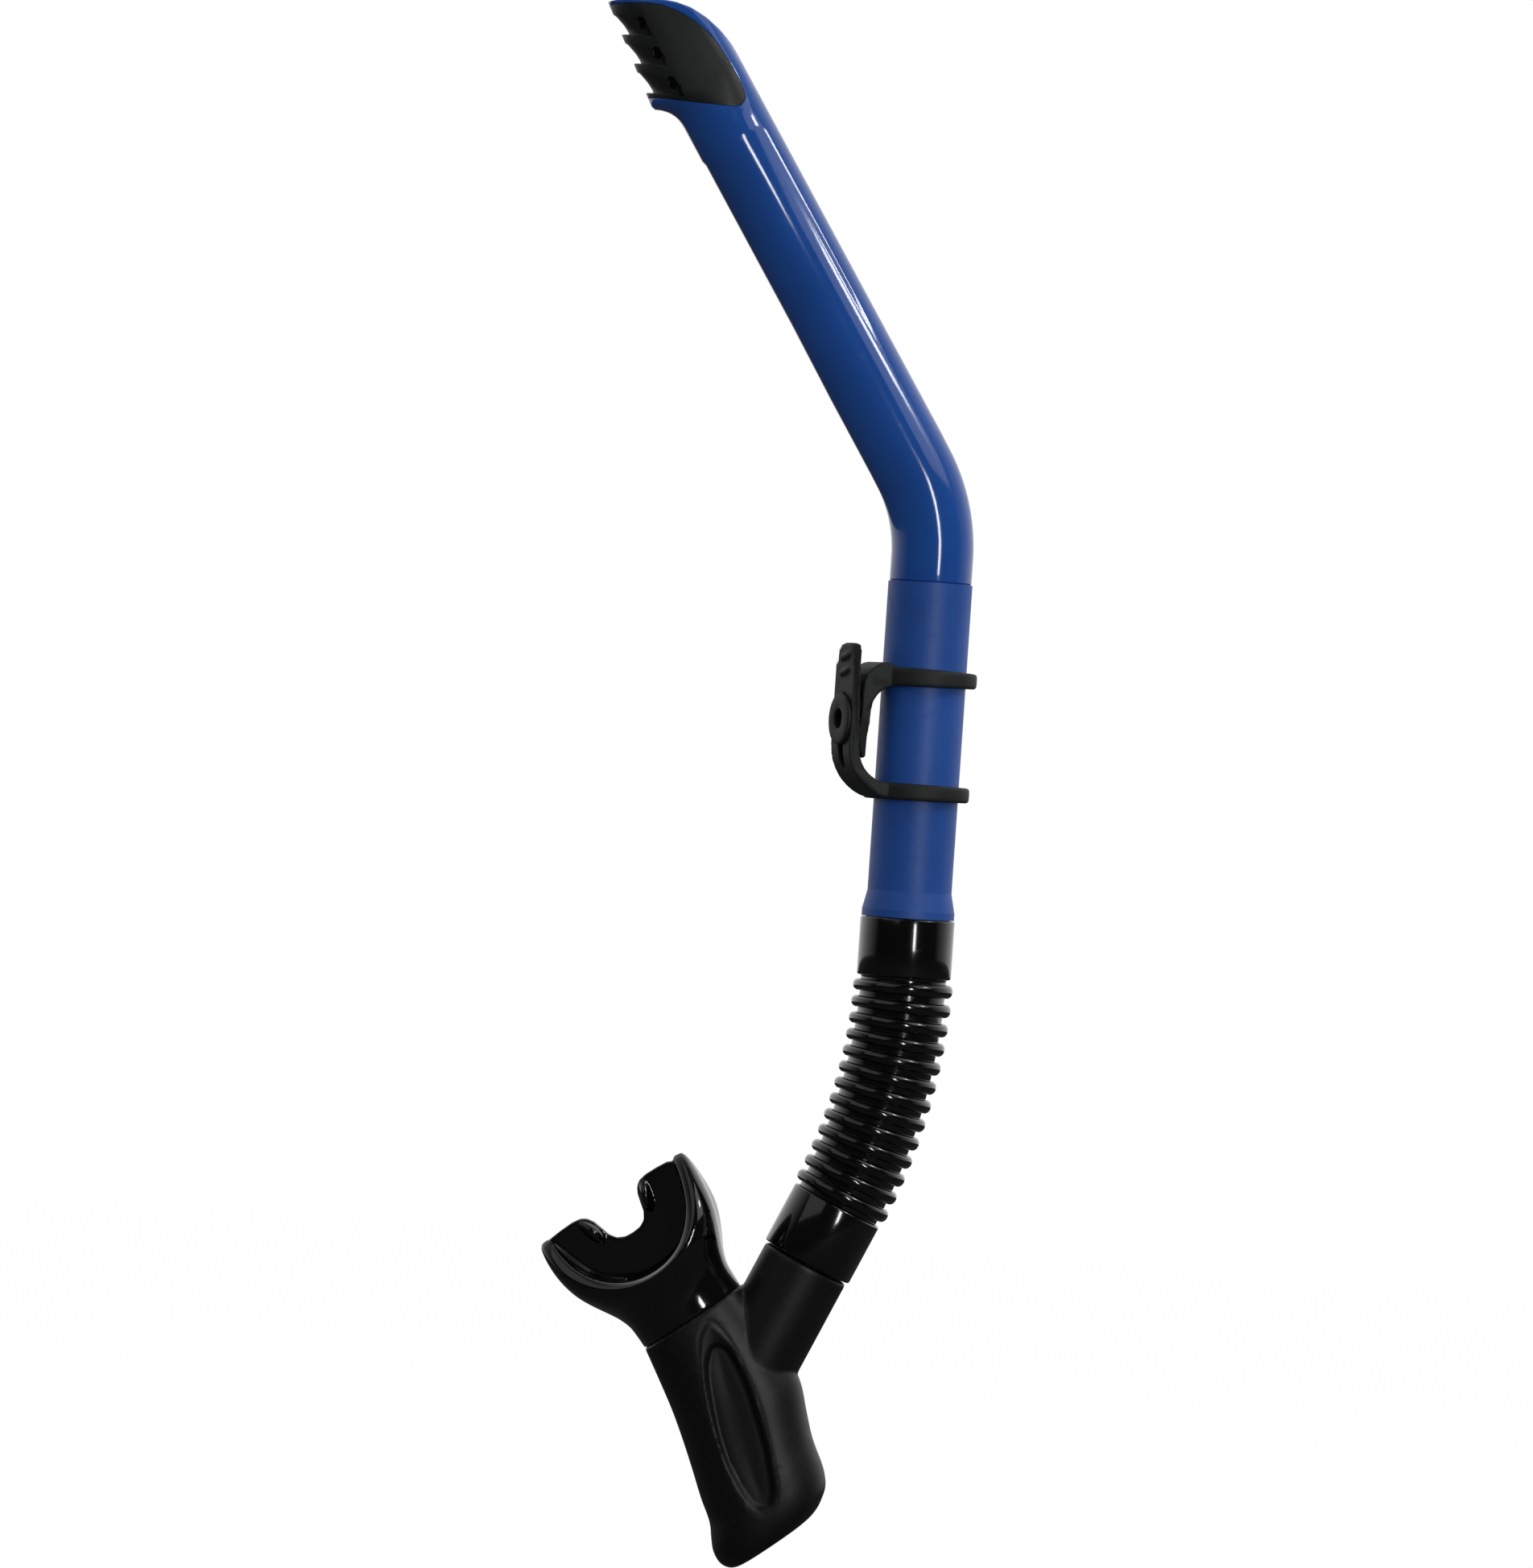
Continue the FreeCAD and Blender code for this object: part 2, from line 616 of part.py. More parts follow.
def make_keeper_lower_loop():
    """Lower ring with the long slotted tongue that faces outwards."""
    body = new_body("keeper_lower_loop", keeper_frame)
    ring = new_sketch(body, "lower_ring_section")
    ring_profile(ring, RING_BORE, RING_OUTER, "-ring_spacing / 2")
    revolve(body, ring, "lower_ring")
    tongue = new_sketch(body, "tongue_section")
    strap_outline(tongue, TONGUE_INNER, TONGUE_OUTER, "(-ring_spacing / 2)", "tongue_top", "1")
    pad(body, tongue, "strap_width", "tongue")
    clear_bore(body, "lower_ring")
    slot = new_sketch(body, "tongue_slot", "YZ_Plane", f"-{TONGUE_OUTER}")
    half = "(stud_od / 2 + slot_gap)"
    outline(
        slot,
        [
            (f"-{half}", f"-slot_low + {half}"),
            (half, f"-slot_low + {half}"),
            (half, f"slot_high - {half}"),
            (f"-{half}", f"slot_high - {half}"),
        ],
        arcs={0: (f"{half} * 1.001", True), 2: (f"{half} * 1.001", True)},
    )
    pocket(body, slot, "tongue_thick * 2 + 1", "slot")
    corner_sketch = new_sketch(body, "tongue_end", "YZ_Plane", f"-{TONGUE_OUTER}")
    outline(
        corner_sketch,
        [
            ("-strap_width / 2", "tongue_top - strap_width / 2"),
            ("strap_width / 2", "tongue_top - strap_width / 2"),
            ("strap_width / 2 + 1", "tongue_top - strap_width / 2"),
            ("strap_width / 2 + 1", "tongue_top + 1"),
            ("-strap_width / 2 - 1", "tongue_top + 1"),
            ("-strap_width / 2 - 1", "tongue_top - strap_width / 2"),
        ],
        arcs={0: ("strap_width / 2 * 1.001", False)},
    )
    pocket(body, corner_sketch, "tongue_thick * 2 + 1", "tongue_rounded")
    return body


def make_keeper_upper_loop():
    """Upper ring with the rear strap and the stud that passes through the tongue's slot."""
    body = new_body("keeper_upper_loop", keeper_frame)
    ring = new_sketch(body, "upper_ring_section")
    ring_profile(ring, RING_BORE, RING_OUTER, "ring_spacing / 2")
    revolve(body, ring, "upper_ring")
    strap = new_sketch(body, "rear_strap_section")
    strap_outline(strap, REAR_INNER, REAR_OUTER, "(ring_spacing / 2)", "-rear_tail", "-1")
    pad(body, strap, "strap_width - 2", "rear_strap")
    clear_bore(body, "upper_ring")
    head = "button_thick * 0.7"
    stud = new_sketch(body, "stud_section", "YZ_Plane", f"-({TONGUE_OUTER} + seat_gap + {head})")
    circle(stud, "stud_od", "0", "stud_height")
    pad(body, stud, f"seat_gap * 2 + tongue_thick + {head} + 0.5", "stud", both_ways=False)
    return body


def make_keeper_button():
    """Disc pressed on the stud's end, which holds the tongue against the rear strap."""
    body = new_body("keeper_button", keeper_frame)
    disc = new_sketch(body, "button_section", "YZ_Plane", f"-({TONGUE_OUTER} + seat_gap + button_thick)")
    circle(disc, "button_od", "0", "stud_height", "rim")
    circle(disc, "stud_od + 2 * glue_gap", "0", "stud_height", "hole")
    pad(body, disc, "button_thick", "button", both_ways=False)
    return body


def make_flex_hose():
    """Corrugated hose: a bent core with ring crests, and a plain cuff at each end."""
    top_cuff = rod("top_cuff", "cuff_od", "hose_spigot - 2 * running_gap", lean(0, hose_top, 0))
    foot = at(inlet_frame, 0, -size("cuff_length"))
    foot_cuff = rod("foot_cuff", "cuff_od", "cuff_length", foot)
    body = new_body("hose_core")
    path = new_sketch(body, "hose_line")
    start = "(-lower_foot - hose_spigot)"
    outline(
        path,
        [
            ("0", start),
            (
                "-hose_radius * (1 - cos(hose_angle * 1deg))",
                f"{start} - hose_radius * sin(hose_angle * 1deg)",
            ),
        ],
        arcs={0: ("hose_radius", False)},
        closed=False,
    )
    section = new_sketch(body, "hose_section", "XY_Plane", start)
    circle(section, "hose_core")
    pipe(body, "Additive", section, path, "hose_bent", 1)
    crests = []
    count = int(size("crests"))
    for i in range(count):
        share = (i + 0.5) / count
        angle = hose_bend * share
        crest = doc.addObject("Part::Torus", f"crest_{i + 1}")
        crest.setExpression("Radius1", of("crest_od / 2 - crest_round"))
        crest.setExpression("Radius2", of("crest_round"))
        crest.Placement = lean(
            -size("hose_radius") * (1 - math.cos(angle)),
            hose_top - size("hose_radius") * math.sin(angle),
            math.degrees(angle),
        )
        crests.append(crest)
    outside = join("hose_outside", [top_cuff, foot_cuff, body] + crests)
    bore_body = new_body("hose_air")
    bore_path = new_sketch(bore_body, "hose_air_line")
    outline(
        bore_path,
        [
            ("0", start),
            (
                "-hose_radius * (1 - cos(hose_angle * 1deg))",
                f"{start} - hose_radius * sin(hose_angle * 1deg)",
            ),
        ],
        arcs={0: ("hose_radius", False)},
        closed=False,
    )
    bore_section = new_sketch(bore_body, "hose_air_section", "XY_Plane", start)
    circle(bore_section, "hose_bore")
    pipe(bore_body, "Additive", bore_section, bore_path, "hose_air_bent", 1)
    top_socket = rod(
        "top_socket",
        "lower_od + 2 * running_gap",
        "hose_spigot + 1",
        lean(0, hose_top - size("seat_gap"), 0),
    )
    foot_socket = rod(
        "foot_socket",
        "lower_od + 2 * running_gap",
        "cuff_length + 1",
        at(inlet_frame, 0, -size("cuff_length") - 1 + size("seat_gap")),
    )
    inside = join("hose_inside", [top_socket, foot_socket, bore_body])
    hose = cut("flex_hose", outside, inside)
    hose.Label = "flex_hose"
    return hose


# Centres and leans of the barrel's cross sections in the inlet's frame, mouthpiece seam first, base
# last: across, along, degrees.
BARREL_LINE = [
    (-21.2, -47.1, -62.0),
    (-7.0, -56.4, -54.5),
    (9.1, -69.4, -46.5),
    (20.2, -80.6, -46.0),
    (27.8, -91.7, -62.4),
]
RECESS_CENTRE = (3.0, -70.0)
RECESS_AXIS = Vector(0.55, 0, -0.835)
SEAT_DEPTH = 3.8
COVER_DEPTH = 0.2


def housing_frames():
    """Frames of the housing's cross sections, from the mouthpiece seam to the base."""
    return [at(inlet_frame, across, along, degrees) for across, along, degrees in BARREL_LINE]


def base_frame():
    """Frame of the housing's base: Z points into the housing."""
    return housing_frames()[-1]


def make_purge_housing():
    """Y-shaped housing: inlet stub, barrel, mouthpiece spigot, finger recesses and valve opening."""
    frames = housing_frames()
    shoulder_width = "mouth_width * 0.45 + body_width * 0.55"
    shoulder_depth = "mouth_depth * 0.45 + body_depth * 0.55"
    widths = ["mouth_width", shoulder_width, "body_width", "body_width", "base_width"]
    depths = ["mouth_depth", shoulder_depth, "body_depth", "body_depth", "base_depth"]
    outer = [oval(f"barrel_{i}", widths[i], depths[i], frames[i]) for i in range(5)]
    barrel = doc.addObject("Part::Fillet", "barrel_rounded")
    barrel.Base = loft("barrel_outside", outer)
    doc.recompute()
    base_edges = [
        number
        for number, edge in enumerate(barrel.Base.Shape.Edges, start=1)
        if edge.isClosed() and (edge.CenterOfGravity - frames[4].Base).Length < 1.0
    ]
    barrel.Edges = [(number, size("base_round"), size("base_round")) for number in base_edges]
    stub_foot = at(inlet_frame, 0, -size("stub_length"))
    stub = rod("inlet_stub", "stub_od", "stub_length - cuff_length - seat_gap", stub_foot)
    neck = rod("hose_neck", "lower_od", "stub_length - seat_gap", stub_foot)
    spigot_curve = oval(
        "mouth_spigot_section",
        "mouth_width - 2 * neck_wall - 2 * glue_gap",
        "mouth_depth - 2 * neck_wall - 2 * glue_gap",
        frames[0],
    )
    spigot = doc.addObject("Part::Extrusion", "mouth_spigot_bar")
    spigot.Base = spigot_curve
    spigot.DirMode = "Normal"
    spigot.Solid = True
    spigot.setExpression("LengthFwd", of("mouth_spigot"))
    spigot.setExpression("LengthRev", of("1.0"))
    outside = join("housing_outside", [barrel, stub, neck, spigot])
    thin = "2 * housing_wall"
    inner_frames = [frames[0], frames[1], frames[2], frames[3], at(frames[4], 0, 5.2)]
    inner = [
        oval(f"hollow_{i}", f"{widths[i]} - {thin}", f"{depths[i]} - {thin}", inner_frames[i])
        for i in range(4)
    ]
    inner.append(oval("hollow_4", "valve_od + 2.4", "valve_od + 2.0", inner_frames[4]))
    chamber = loft("housing_chamber", inner)
    air = rod("stub_air", "stub_bore", "stub_length + 1", stub_foot)
    mouth_curve = oval(
        "mouth_air_section",
        "mouth_width - 2 * neck_wall - 3.6",
        "mouth_depth - 2 * neck_wall - 3.6",
        frames[0],
    )
    mouth_air = doc.addObject("Part::Extrusion", "mouth_air")
    mouth_air.Base = mouth_curve
    mouth_air.DirMode = "Normal"
    mouth_air.Solid = True
    mouth_air.setExpression("LengthFwd", of("mouth_spigot + 1"))
    mouth_air.setExpression("LengthRev", of("2.0"))
    port = rod("valve_port", "valve_od + 1.6", "8", at(base_frame(), 0, -0.5))
    seat_rebate = rod("seat_rebate", "seat_od + 2 * glue_gap", "6", at(base_frame(), 0, -0.5))
    recesses = []
    for side in (-1, 1):
        recess = doc.addObject("Part::Ellipsoid", f"recess_{'left' if side < 0 else 'right'}")
        recess.setExpression("Radius1", of("recess_depth * 2"))
        recess.setExpression("Radius2", of("recess_length / 2"))
        recess.setExpression("Radius3", of("recess_width / 2"))
        recess.Angle1 = -90
        recess.Angle2 = 90
        recess.Angle3 = 360
        out = side * (size("body_depth") / 2 + size("recess_depth") * 0.4)
        turn = Rotation(RECESS_AXIS, Vector(0, 0, 0), ACROSS, "XZY")
        recess.Placement = at(inlet_frame, *RECESS_CENTRE, 0, out).multiply(Placement(Vector(0, 0, 0), turn))
        recesses.append(recess)
    inside = join("housing_inside", [chamber, air, mouth_air, port, seat_rebate] + recesses)
    housing = cut("purge_housing", outside, inside)
    housing.Label = "purge_housing"
    return housing


def make_valve_seat():
    """Round plate with six ports round the hole for the valve's stem."""
    body = new_body("valve_seat", at(base_frame(), 0, SEAT_DEPTH))
    plate = new_sketch(body, "seat_plate", "XY_Plane")
    circle(plate, "seat_od", name="rim")
    circle(plate, "valve_stem + 2 * running_gap", name="stem")
    pad(body, plate, "seat_thick", "seat_disc", both_ways=False)
    doc.recompute()
    port = new_sketch(body, "seat_port", "XY_Plane")
    circle(port, "valve_od * 0.26", "valve_od * 0.29", "0", "port")
    hole = pocket(body, port, "seat_thick * 4", "seat_hole")
    pattern = body.newObject("PartDesign::PolarPattern", "seat_holes")
    pattern.Originals = [hole]
    pattern.Axis = (port, ["N_Axis"])
    pattern.Angle = 360
    pattern.Occurrences = 6
    body.Tip = pattern
    return body


def make_purge_valve():
    """Thin disc under the seat, with a stem and a small barb above it."""
    body = new_body("purge_valve", at(base_frame(), 0, SEAT_DEPTH))
    section = new_sketch(body, "valve_section")
    top = "(seat_thick + seat_gap + valve_travel)"
    outline(
        section,
        [
            ("0", "-seat_gap - valve_thick"),
            ("valve_od / 2", "-seat_gap - valve_thick"),
            ("valve_od / 2", "-seat_gap"),
            ("valve_stem / 2", "-seat_gap"),
            ("valve_stem / 2", top),
            ("valve_stem / 2 + 0.7", top),
            ("valve_stem / 2", f"{top} + 1.6"),
            ("0", f"{top} + 1.6"),
        ],
    )
    revolve(body, section, "valve_turned")
    return body


def make_purge_cover():
    """Cap flush with the base, with a row of slots that let the water out."""
    body = new_body("purge_cover", at(base_frame(), 0, COVER_DEPTH))
    disc = new_sketch(body, "cover_disc", "XY_Plane")
    circle(disc, "seat_od", name="rim")
    pad(body, disc, "cover_thick * 0.6", "cover_plate", both_ways=False)
    doc.recompute()
    slots = new_sketch(body, "cover_slots", "XY_Plane")
    edge = 0
    for i, share in enumerate((0.26, 0.36, 0.36, 0.26)):
        middle = f"({i} - 1.5) * seat_od * 0.19"
        half = "seat_od * 0.055"
        reach = f"seat_od * {share}"
        corners = [
            (f"{middle} - {half}", f"-{reach}"),
            (f"{middle} + {half}", f"-{reach}"),
            (f"{middle} + {half}", reach),
            (f"{middle} - {half}", reach),
        ]
        points = [Vector(value_of(x), value_of(y), 0) for x, y in corners]
        for k in range(4):
            line = slots.addGeometry(Part.LineSegment(points[k], points[(k + 1) % 4]), False)
            pin_point(slots, line, 1, corners[k][0], corners[k][1], f"slot{i}_{k}")
        for k in range(4):
            slots.addConstraint(Sketcher.Constraint("Coincident", edge + k, 2, edge + (k + 1) % 4, 1))
        edge += 4
    pocket(body, slots, "cover_thick * 4", "cover_slotted")
    return body


def make_mouthpiece():
    """Silicone neck that flares into an arched lip flange with a notched bite plate inside it."""
    seam = housing_frames()[0]
    lift = size("glue_gap")
    rows = [
        ("mouth_width", "mouth_depth", lift),
        ("mouth_width + 0.6", "mouth_depth + 0.4", 9.0),
        ("flange_width * 0.735", "mouth_depth + 2.4", 15.0),
        ("flange_width * 0.86", "flange_height * 0.86", 21.5),
        ("flange_width * 0.95", "flange_height * 0.95", 28.0),
    ]
    neck_rings = [
        oval(f"neck_{i}", width, depth, at(seam, 0, rise)) for i, (width, depth, rise) in enumerate(rows)
    ]
    horn = loft("neck_horn", neck_rings)
    side_on = Rotation(Vector(1, 0, 0), 90)
    arch = seam.multiply(Placement(Vector(0, 0, size("arch_centre")), side_on))
    outer_line = oval("arch_outer_line", "flange_width", "flange_sag * 2", arch)
    inner_width, inner_sag = "flange_width - 2 * flange_wall", "flange_sag * 2 - 2 * flange_wall"
    inner_line = oval("arch_inner_line", inner_width, inner_sag, arch)
    arch_outer = prism("arch_outer", outer_line, "flange_height")
    arch_inner = prism("arch_inner", inner_line, "flange_height * 2")
    shield = block("shield_block", "flange_width + 4", "flange_height", "arch_centre + 3.8", seam)
    flange = overlap("flange_strip", arch_outer, shield)
    outside = join("mouth_outside", [horn, flange])
    shell = cut("mouth_shell", outside, arch_inner)
    plate_line = oval("plate_line", "flange_width - flange_wall", "flange_sag * 2 - flange_wall", arch)
    plate_blank = prism("plate_blank", plate_line, "bite_thick")
    plate_zone = block("plate_zone", "flange_width", "bite_thick * 2", "bite_top", seam)
    plate = overlap("plate", plate_blank, plate_zone)
    with_plate = join("mouth_with_plate", [shell, plate])
    socket_width, socket_depth = "mouth_width - 2 * neck_wall", "mouth_depth - 2 * neck_wall"
    socket_curve = oval("socket_line", socket_width, socket_depth, at(seam, 0, -0.5))
    socket = doc.addObject("Part::Extrusion", "mouth_socket")
    socket.Base = socket_curve
    socket.DirMode = "Normal"
    socket.Solid = True
    socket.setExpression("LengthFwd", of("mouth_spigot + 0.8"))
    air_rows = [
        ("mouth_width - 2 * neck_wall - 3", "mouth_depth - 2 * neck_wall - 3", "mouth_spigot"),
        ("air_width", "air_height", "arch_centre - flange_sag"),
        ("air_width", "air_height", "arch_centre - flange_sag + flange_wall + 1"),
    ]
    air_rings = [
        oval(f"air_{i}", width, depth, at(seam, 0, value_of(rise)))
        for i, (width, depth, rise) in enumerate(air_rows)
    ]
    airway = loft("mouth_airway", air_rings)
    notch_rise = size("notch_floor") + size("notch_width") / 2
    notch_side = Placement(Vector(0, size("bite_thick") * 1.5, notch_rise), side_on)
    notch_round = rod("notch_round", "notch_width", "bite_thick * 3", seam.multiply(notch_side))
    notch_mouth = block("notch_mouth", "notch_width", "bite_thick * 3", "20", at(seam, 0, notch_rise))
    inside = join("mouth_inside", [socket, airway, notch_round, notch_mouth])
    mouthpiece = cut("mouthpiece", with_plate, inside)
    mouthpiece.Label = "mouthpiece"
    return mouthpiece


pieces = [
    make_upper_tube(),
    make_splash_guard(),
    make_lower_tube(),
    make_keeper_upper_loop(),
    make_keeper_lower_loop(),
    make_keeper_button(),
    make_flex_hose(),
    make_purge_housing(),
    make_valve_seat(),
    make_purge_valve(),
    make_purge_cover(),
    make_mouthpiece(),
]
doc.recompute()

# ------------------------------------------------------------------------------ checks and export

for item in doc.Objects:
    if "Invalid" in item.State or "Error" in item.State:
        raise RuntimeError(f"{item.Label} failed: {item.State} {item.getStatusString()}")
os.makedirs("parts", exist_ok=True)
for piece in pieces:
    shape = piece.Shape
    if shape.isNull() or not shape.isValid() or not shape.Solids:
        raise RuntimeError(f"{piece.Label} has no valid solid")
    box = shape.BoundBox
    print(f"{piece.Label:20s} solids {len(shape.Solids)} volume {shape.Volume:9.1f}", end="")
    print(f" x {box.XMin:7.1f} {box.XMax:7.1f} y {box.YMin:6.1f} {box.YMax:6.1f}", end="")
    print(f" z {box.ZMin:7.1f} {box.ZMax:7.1f}")
    shape.exportStep(f"parts/{piece.Label}.step")
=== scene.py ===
"""Snorkel: the finished look of a bent breathing tube, its hose, purge housing, mouthpiece and keeper."""

import math

import bpy
from mathutils import Matrix, Vector


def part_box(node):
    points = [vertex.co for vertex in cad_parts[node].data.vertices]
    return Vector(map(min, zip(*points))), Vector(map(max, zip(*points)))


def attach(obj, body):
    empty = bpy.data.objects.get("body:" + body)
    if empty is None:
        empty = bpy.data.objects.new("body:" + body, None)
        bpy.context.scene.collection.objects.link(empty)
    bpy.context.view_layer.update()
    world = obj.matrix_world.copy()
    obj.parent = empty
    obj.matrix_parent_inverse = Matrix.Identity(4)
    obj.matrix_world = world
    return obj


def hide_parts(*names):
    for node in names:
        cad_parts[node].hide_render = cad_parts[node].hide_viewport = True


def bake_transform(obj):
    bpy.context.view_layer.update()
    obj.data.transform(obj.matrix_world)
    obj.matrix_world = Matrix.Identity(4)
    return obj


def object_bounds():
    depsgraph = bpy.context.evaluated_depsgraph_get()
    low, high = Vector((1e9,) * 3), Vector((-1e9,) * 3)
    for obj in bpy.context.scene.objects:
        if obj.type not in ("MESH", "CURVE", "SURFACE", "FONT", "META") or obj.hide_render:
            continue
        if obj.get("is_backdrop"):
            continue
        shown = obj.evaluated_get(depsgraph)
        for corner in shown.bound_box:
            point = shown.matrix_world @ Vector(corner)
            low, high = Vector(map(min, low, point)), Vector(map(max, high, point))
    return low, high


bl_info = {
    "name": "Snorkel",
    "version": (1, 0, 0),
    "blender": (4, 5, 0),
    "location": "View3D > Sidebar > Snorkel",
    "description": "Builds the pieces and finishes of a snorkel round its packed frame",
    "category": "Object",
}

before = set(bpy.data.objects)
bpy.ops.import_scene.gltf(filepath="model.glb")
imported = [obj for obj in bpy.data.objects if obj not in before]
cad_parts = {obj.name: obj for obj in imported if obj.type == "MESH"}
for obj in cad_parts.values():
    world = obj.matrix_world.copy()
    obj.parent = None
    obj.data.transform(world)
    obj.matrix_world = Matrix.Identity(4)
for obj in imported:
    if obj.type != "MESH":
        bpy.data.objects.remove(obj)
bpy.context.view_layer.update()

MM = 0.001

# Places in the frame and the directions that the leaning pieces are laid out along.
ACROSS = Vector((0, 1, 0))
FLOOR_RISE = 163.67
LEAN_UP, LEAN_OUT = 0.8462, 0.5329
HOOD_FLOOR = Vector((-62.26, 0, FLOOR_RISE)) * MM
BARREL_UP = Vector((-LEAN_OUT, 0, LEAN_UP))
BARREL_FRONT = Vector((-LEAN_UP, 0, -LEAN_OUT))
INLET = Vector((-14.6, 0, -135.2)) * MM
SEAM = Vector((-53.4, 0, -169.25)) * MM
MOUTH_ACROSS = Vector((0.794, 0, 0.609))
MOUTH_OUT = Vector((-0.609, 0, 0.794))
KEEPER_TURN = math.radians(22)

# Inner radius of what sits on the straight tube, in millimetres like every size below.
TUBE_CLEAR = 12.06


# ---------------------------------------------------------------- settings

class SnorkelSizes(bpy.types.PropertyGroup):
    """Sizes of the pieces that are modelled here."""

    tube_od: bpy.props.FloatProperty(
        name="Tube diameter", description="Outside diameter of the glossy tube",
        default=23.4 * MM, min=0.01, subtype="DISTANCE", unit="LENGTH")
    hood_width: bpy.props.FloatProperty(
        name="Hood width", description="Width of the hood across its cheeks",
        default=24.2 * MM, min=0.01, subtype="DISTANCE", unit="LENGTH")
    groove_depth: bpy.props.FloatProperty(
        name="Groove depth", description="Depth of the splash guard's grooves at their lower edge",
        default=2.1 * MM, min=0.0, subtype="DISTANCE", unit="LENGTH")
    crest_od: bpy.props.FloatProperty(
        name="Hose crest diameter", description="Diameter over the hose's corrugations",
        default=28.6 * MM, min=0.01, subtype="DISTANCE", unit="LENGTH")
    crest_count: bpy.props.IntProperty(
        name="Hose crests", description="Number of corrugations", default=13, min=4, max=30)
    cuff_od: bpy.props.FloatProperty(
        name="Cuff diameter", description="Diameter of the hose's smooth cuffs",
        default=26.9 * MM, min=0.01, subtype="DISTANCE", unit="LENGTH")


class SnorkelColours(bpy.types.PropertyGroup):
    """Colours of the finishes."""

    blue: bpy.props.FloatVectorProperty(
        name="Blue", description="Colour of both tubes", subtype="COLOR",
        size=3, min=0, max=1, default=(0.024, 0.128, 0.56))
    guard: bpy.props.FloatVectorProperty(
        name="Splash guard", description="Colour of the splash guard", subtype="COLOR",
        size=3, min=0, max=1, default=(0.017, 0.019, 0.019))
    keeper: bpy.props.FloatVectorProperty(
        name="Keeper", description="Colour of the keeper's rubber", subtype="COLOR",
        size=3, min=0, max=1, default=(0.018, 0.020, 0.020))
    silicone: bpy.props.FloatVectorProperty(
        name="Silicone", description="Colour of the hose and the mouthpiece", subtype="COLOR",
        size=3, min=0, max=1, default=(0.0022, 0.0024, 0.0026))
    housing: bpy.props.FloatVectorProperty(
        name="Housing", description="Colour of the purge housing", subtype="COLOR",
        size=3, min=0, max=1, default=(0.0032, 0.0036, 0.0036))


# ---------------------------------------------------------------- mesh helpers

def deselect_all():
    """Leaves edit mode with nothing selected."""
    if bpy.context.mode != "OBJECT":
        bpy.ops.object.mode_set(mode="OBJECT")
    bpy.ops.object.select_all(action="DESELECT")


def take(piece):
    """Makes one piece the only selected and active object."""
    deselect_all()
    piece.hide_viewport = False
    piece.select_set(True)
    bpy.context.view_layer.objects.active = piece


def rolled(name, rows, open_ends=False):
    """A grid rolled round a row of rings; each ring is a list of points and all have as many."""
    around = len(rows[0])
    deselect_all()
    bpy.ops.mesh.primitive_grid_add(x_subdivisions=around, y_subdivisions=len(rows) - 1, size=2)
    piece = bpy.context.object
    piece.name = piece.data.name = name
    for vertex in piece.data.vertices:
        column = round((vertex.co.x + 1) / 2 * around) % around
        row = round((vertex.co.y + 1) / 2 * (len(rows) - 1))
        vertex.co = rows[row][column]
    bpy.ops.object.mode_set(mode="EDIT")
    bpy.ops.mesh.select_all(action="SELECT")
    bpy.ops.mesh.remove_doubles(threshold=0.000002)
    if not open_ends:
        bpy.ops.mesh.select_all(action="DESELECT")
        bpy.ops.mesh.select_non_manifold()
        bpy.ops.mesh.fill_holes(sides=0)
    bpy.ops.mesh.select_all(action="SELECT")
    bpy.ops.mesh.normals_make_consistent(inside=False)
    bpy.ops.object.mode_set(mode="OBJECT")
    return piece


def prism(name, outline, half_depth):
    """A flat outline in the XZ plane, extruded both ways along Y."""
    deselect_all()
    bpy.ops.mesh.primitive_circle_add(vertices=len(outline), radius=1, fill_type="NGON")
    piece = bpy.context.object
    piece.name = piece.data.name = name
    for vertex, point in zip(piece.data.vertices, outline):
        vertex.co = point - ACROSS * half_depth
    bpy.ops.object.mode_set(mode="EDIT")
    bpy.ops.mesh.select_all(action="SELECT")
    bpy.ops.mesh.extrude_region_move(
        TRANSFORM_OT_translate={"value": (0, 2 * half_depth, 0)})
    bpy.ops.mesh.select_all(action="SELECT")
    bpy.ops.mesh.normals_make_consistent(inside=False)
    bpy.ops.object.mode_set(mode="OBJECT")
    return piece


def oval(centre, across, half_x, half_y, count, square=2.0):
    """Points round an oval; across is its long direction in the XZ plane."""
    points = []
    for step in range(count):
        angle = 2 * math.pi * step / count
        x, y = math.cos(angle), math.sin(angle)
        if square != 2.0:
            x = math.copysign(abs(x) ** (2 / square), x)
            y = math.copysign(abs(y) ** (2 / square), y)
        points.append(centre + across * (half_x * x) + ACROSS * (half_y * y))
    return points


def apply_boolean(piece, other, operation):
    """Cuts, joins or intersects piece with other, and removes other."""
    take(piece)
    modifier = piece.modifiers.new("boolean", "BOOLEAN")
    modifier.operation = operation
    modifier.solver = "EXACT"
    modifier.object = other
    bpy.ops.object.modifier_apply(modifier=modifier.name)
    bpy.data.objects.remove(other)


def soften(piece, width, segments):
    """Rounds the sharp edges of a piece and shades it."""
    take(piece)
    bpy.ops.object.mode_set(mode="EDIT")
    bpy.ops.mesh.select_all(action="SELECT")
    bpy.ops.mesh.remove_doubles(threshold=0.00001)
    bpy.ops.mesh.dissolve_limited(angle_limit=math.radians(0.4))
    bpy.ops.object.mode_set(mode="OBJECT")
    modifier = piece.modifiers.new("bevel", "BEVEL")
    modifier.width = width
    modifier.segments = segments
    modifier.limit_method = "ANGLE"
    modifier.angle_limit = math.radians(35)
    bpy.ops.object.modifier_apply(modifier=modifier.name)
    bpy.ops.object.shade_smooth_by_angle(angle=math.radians(40))


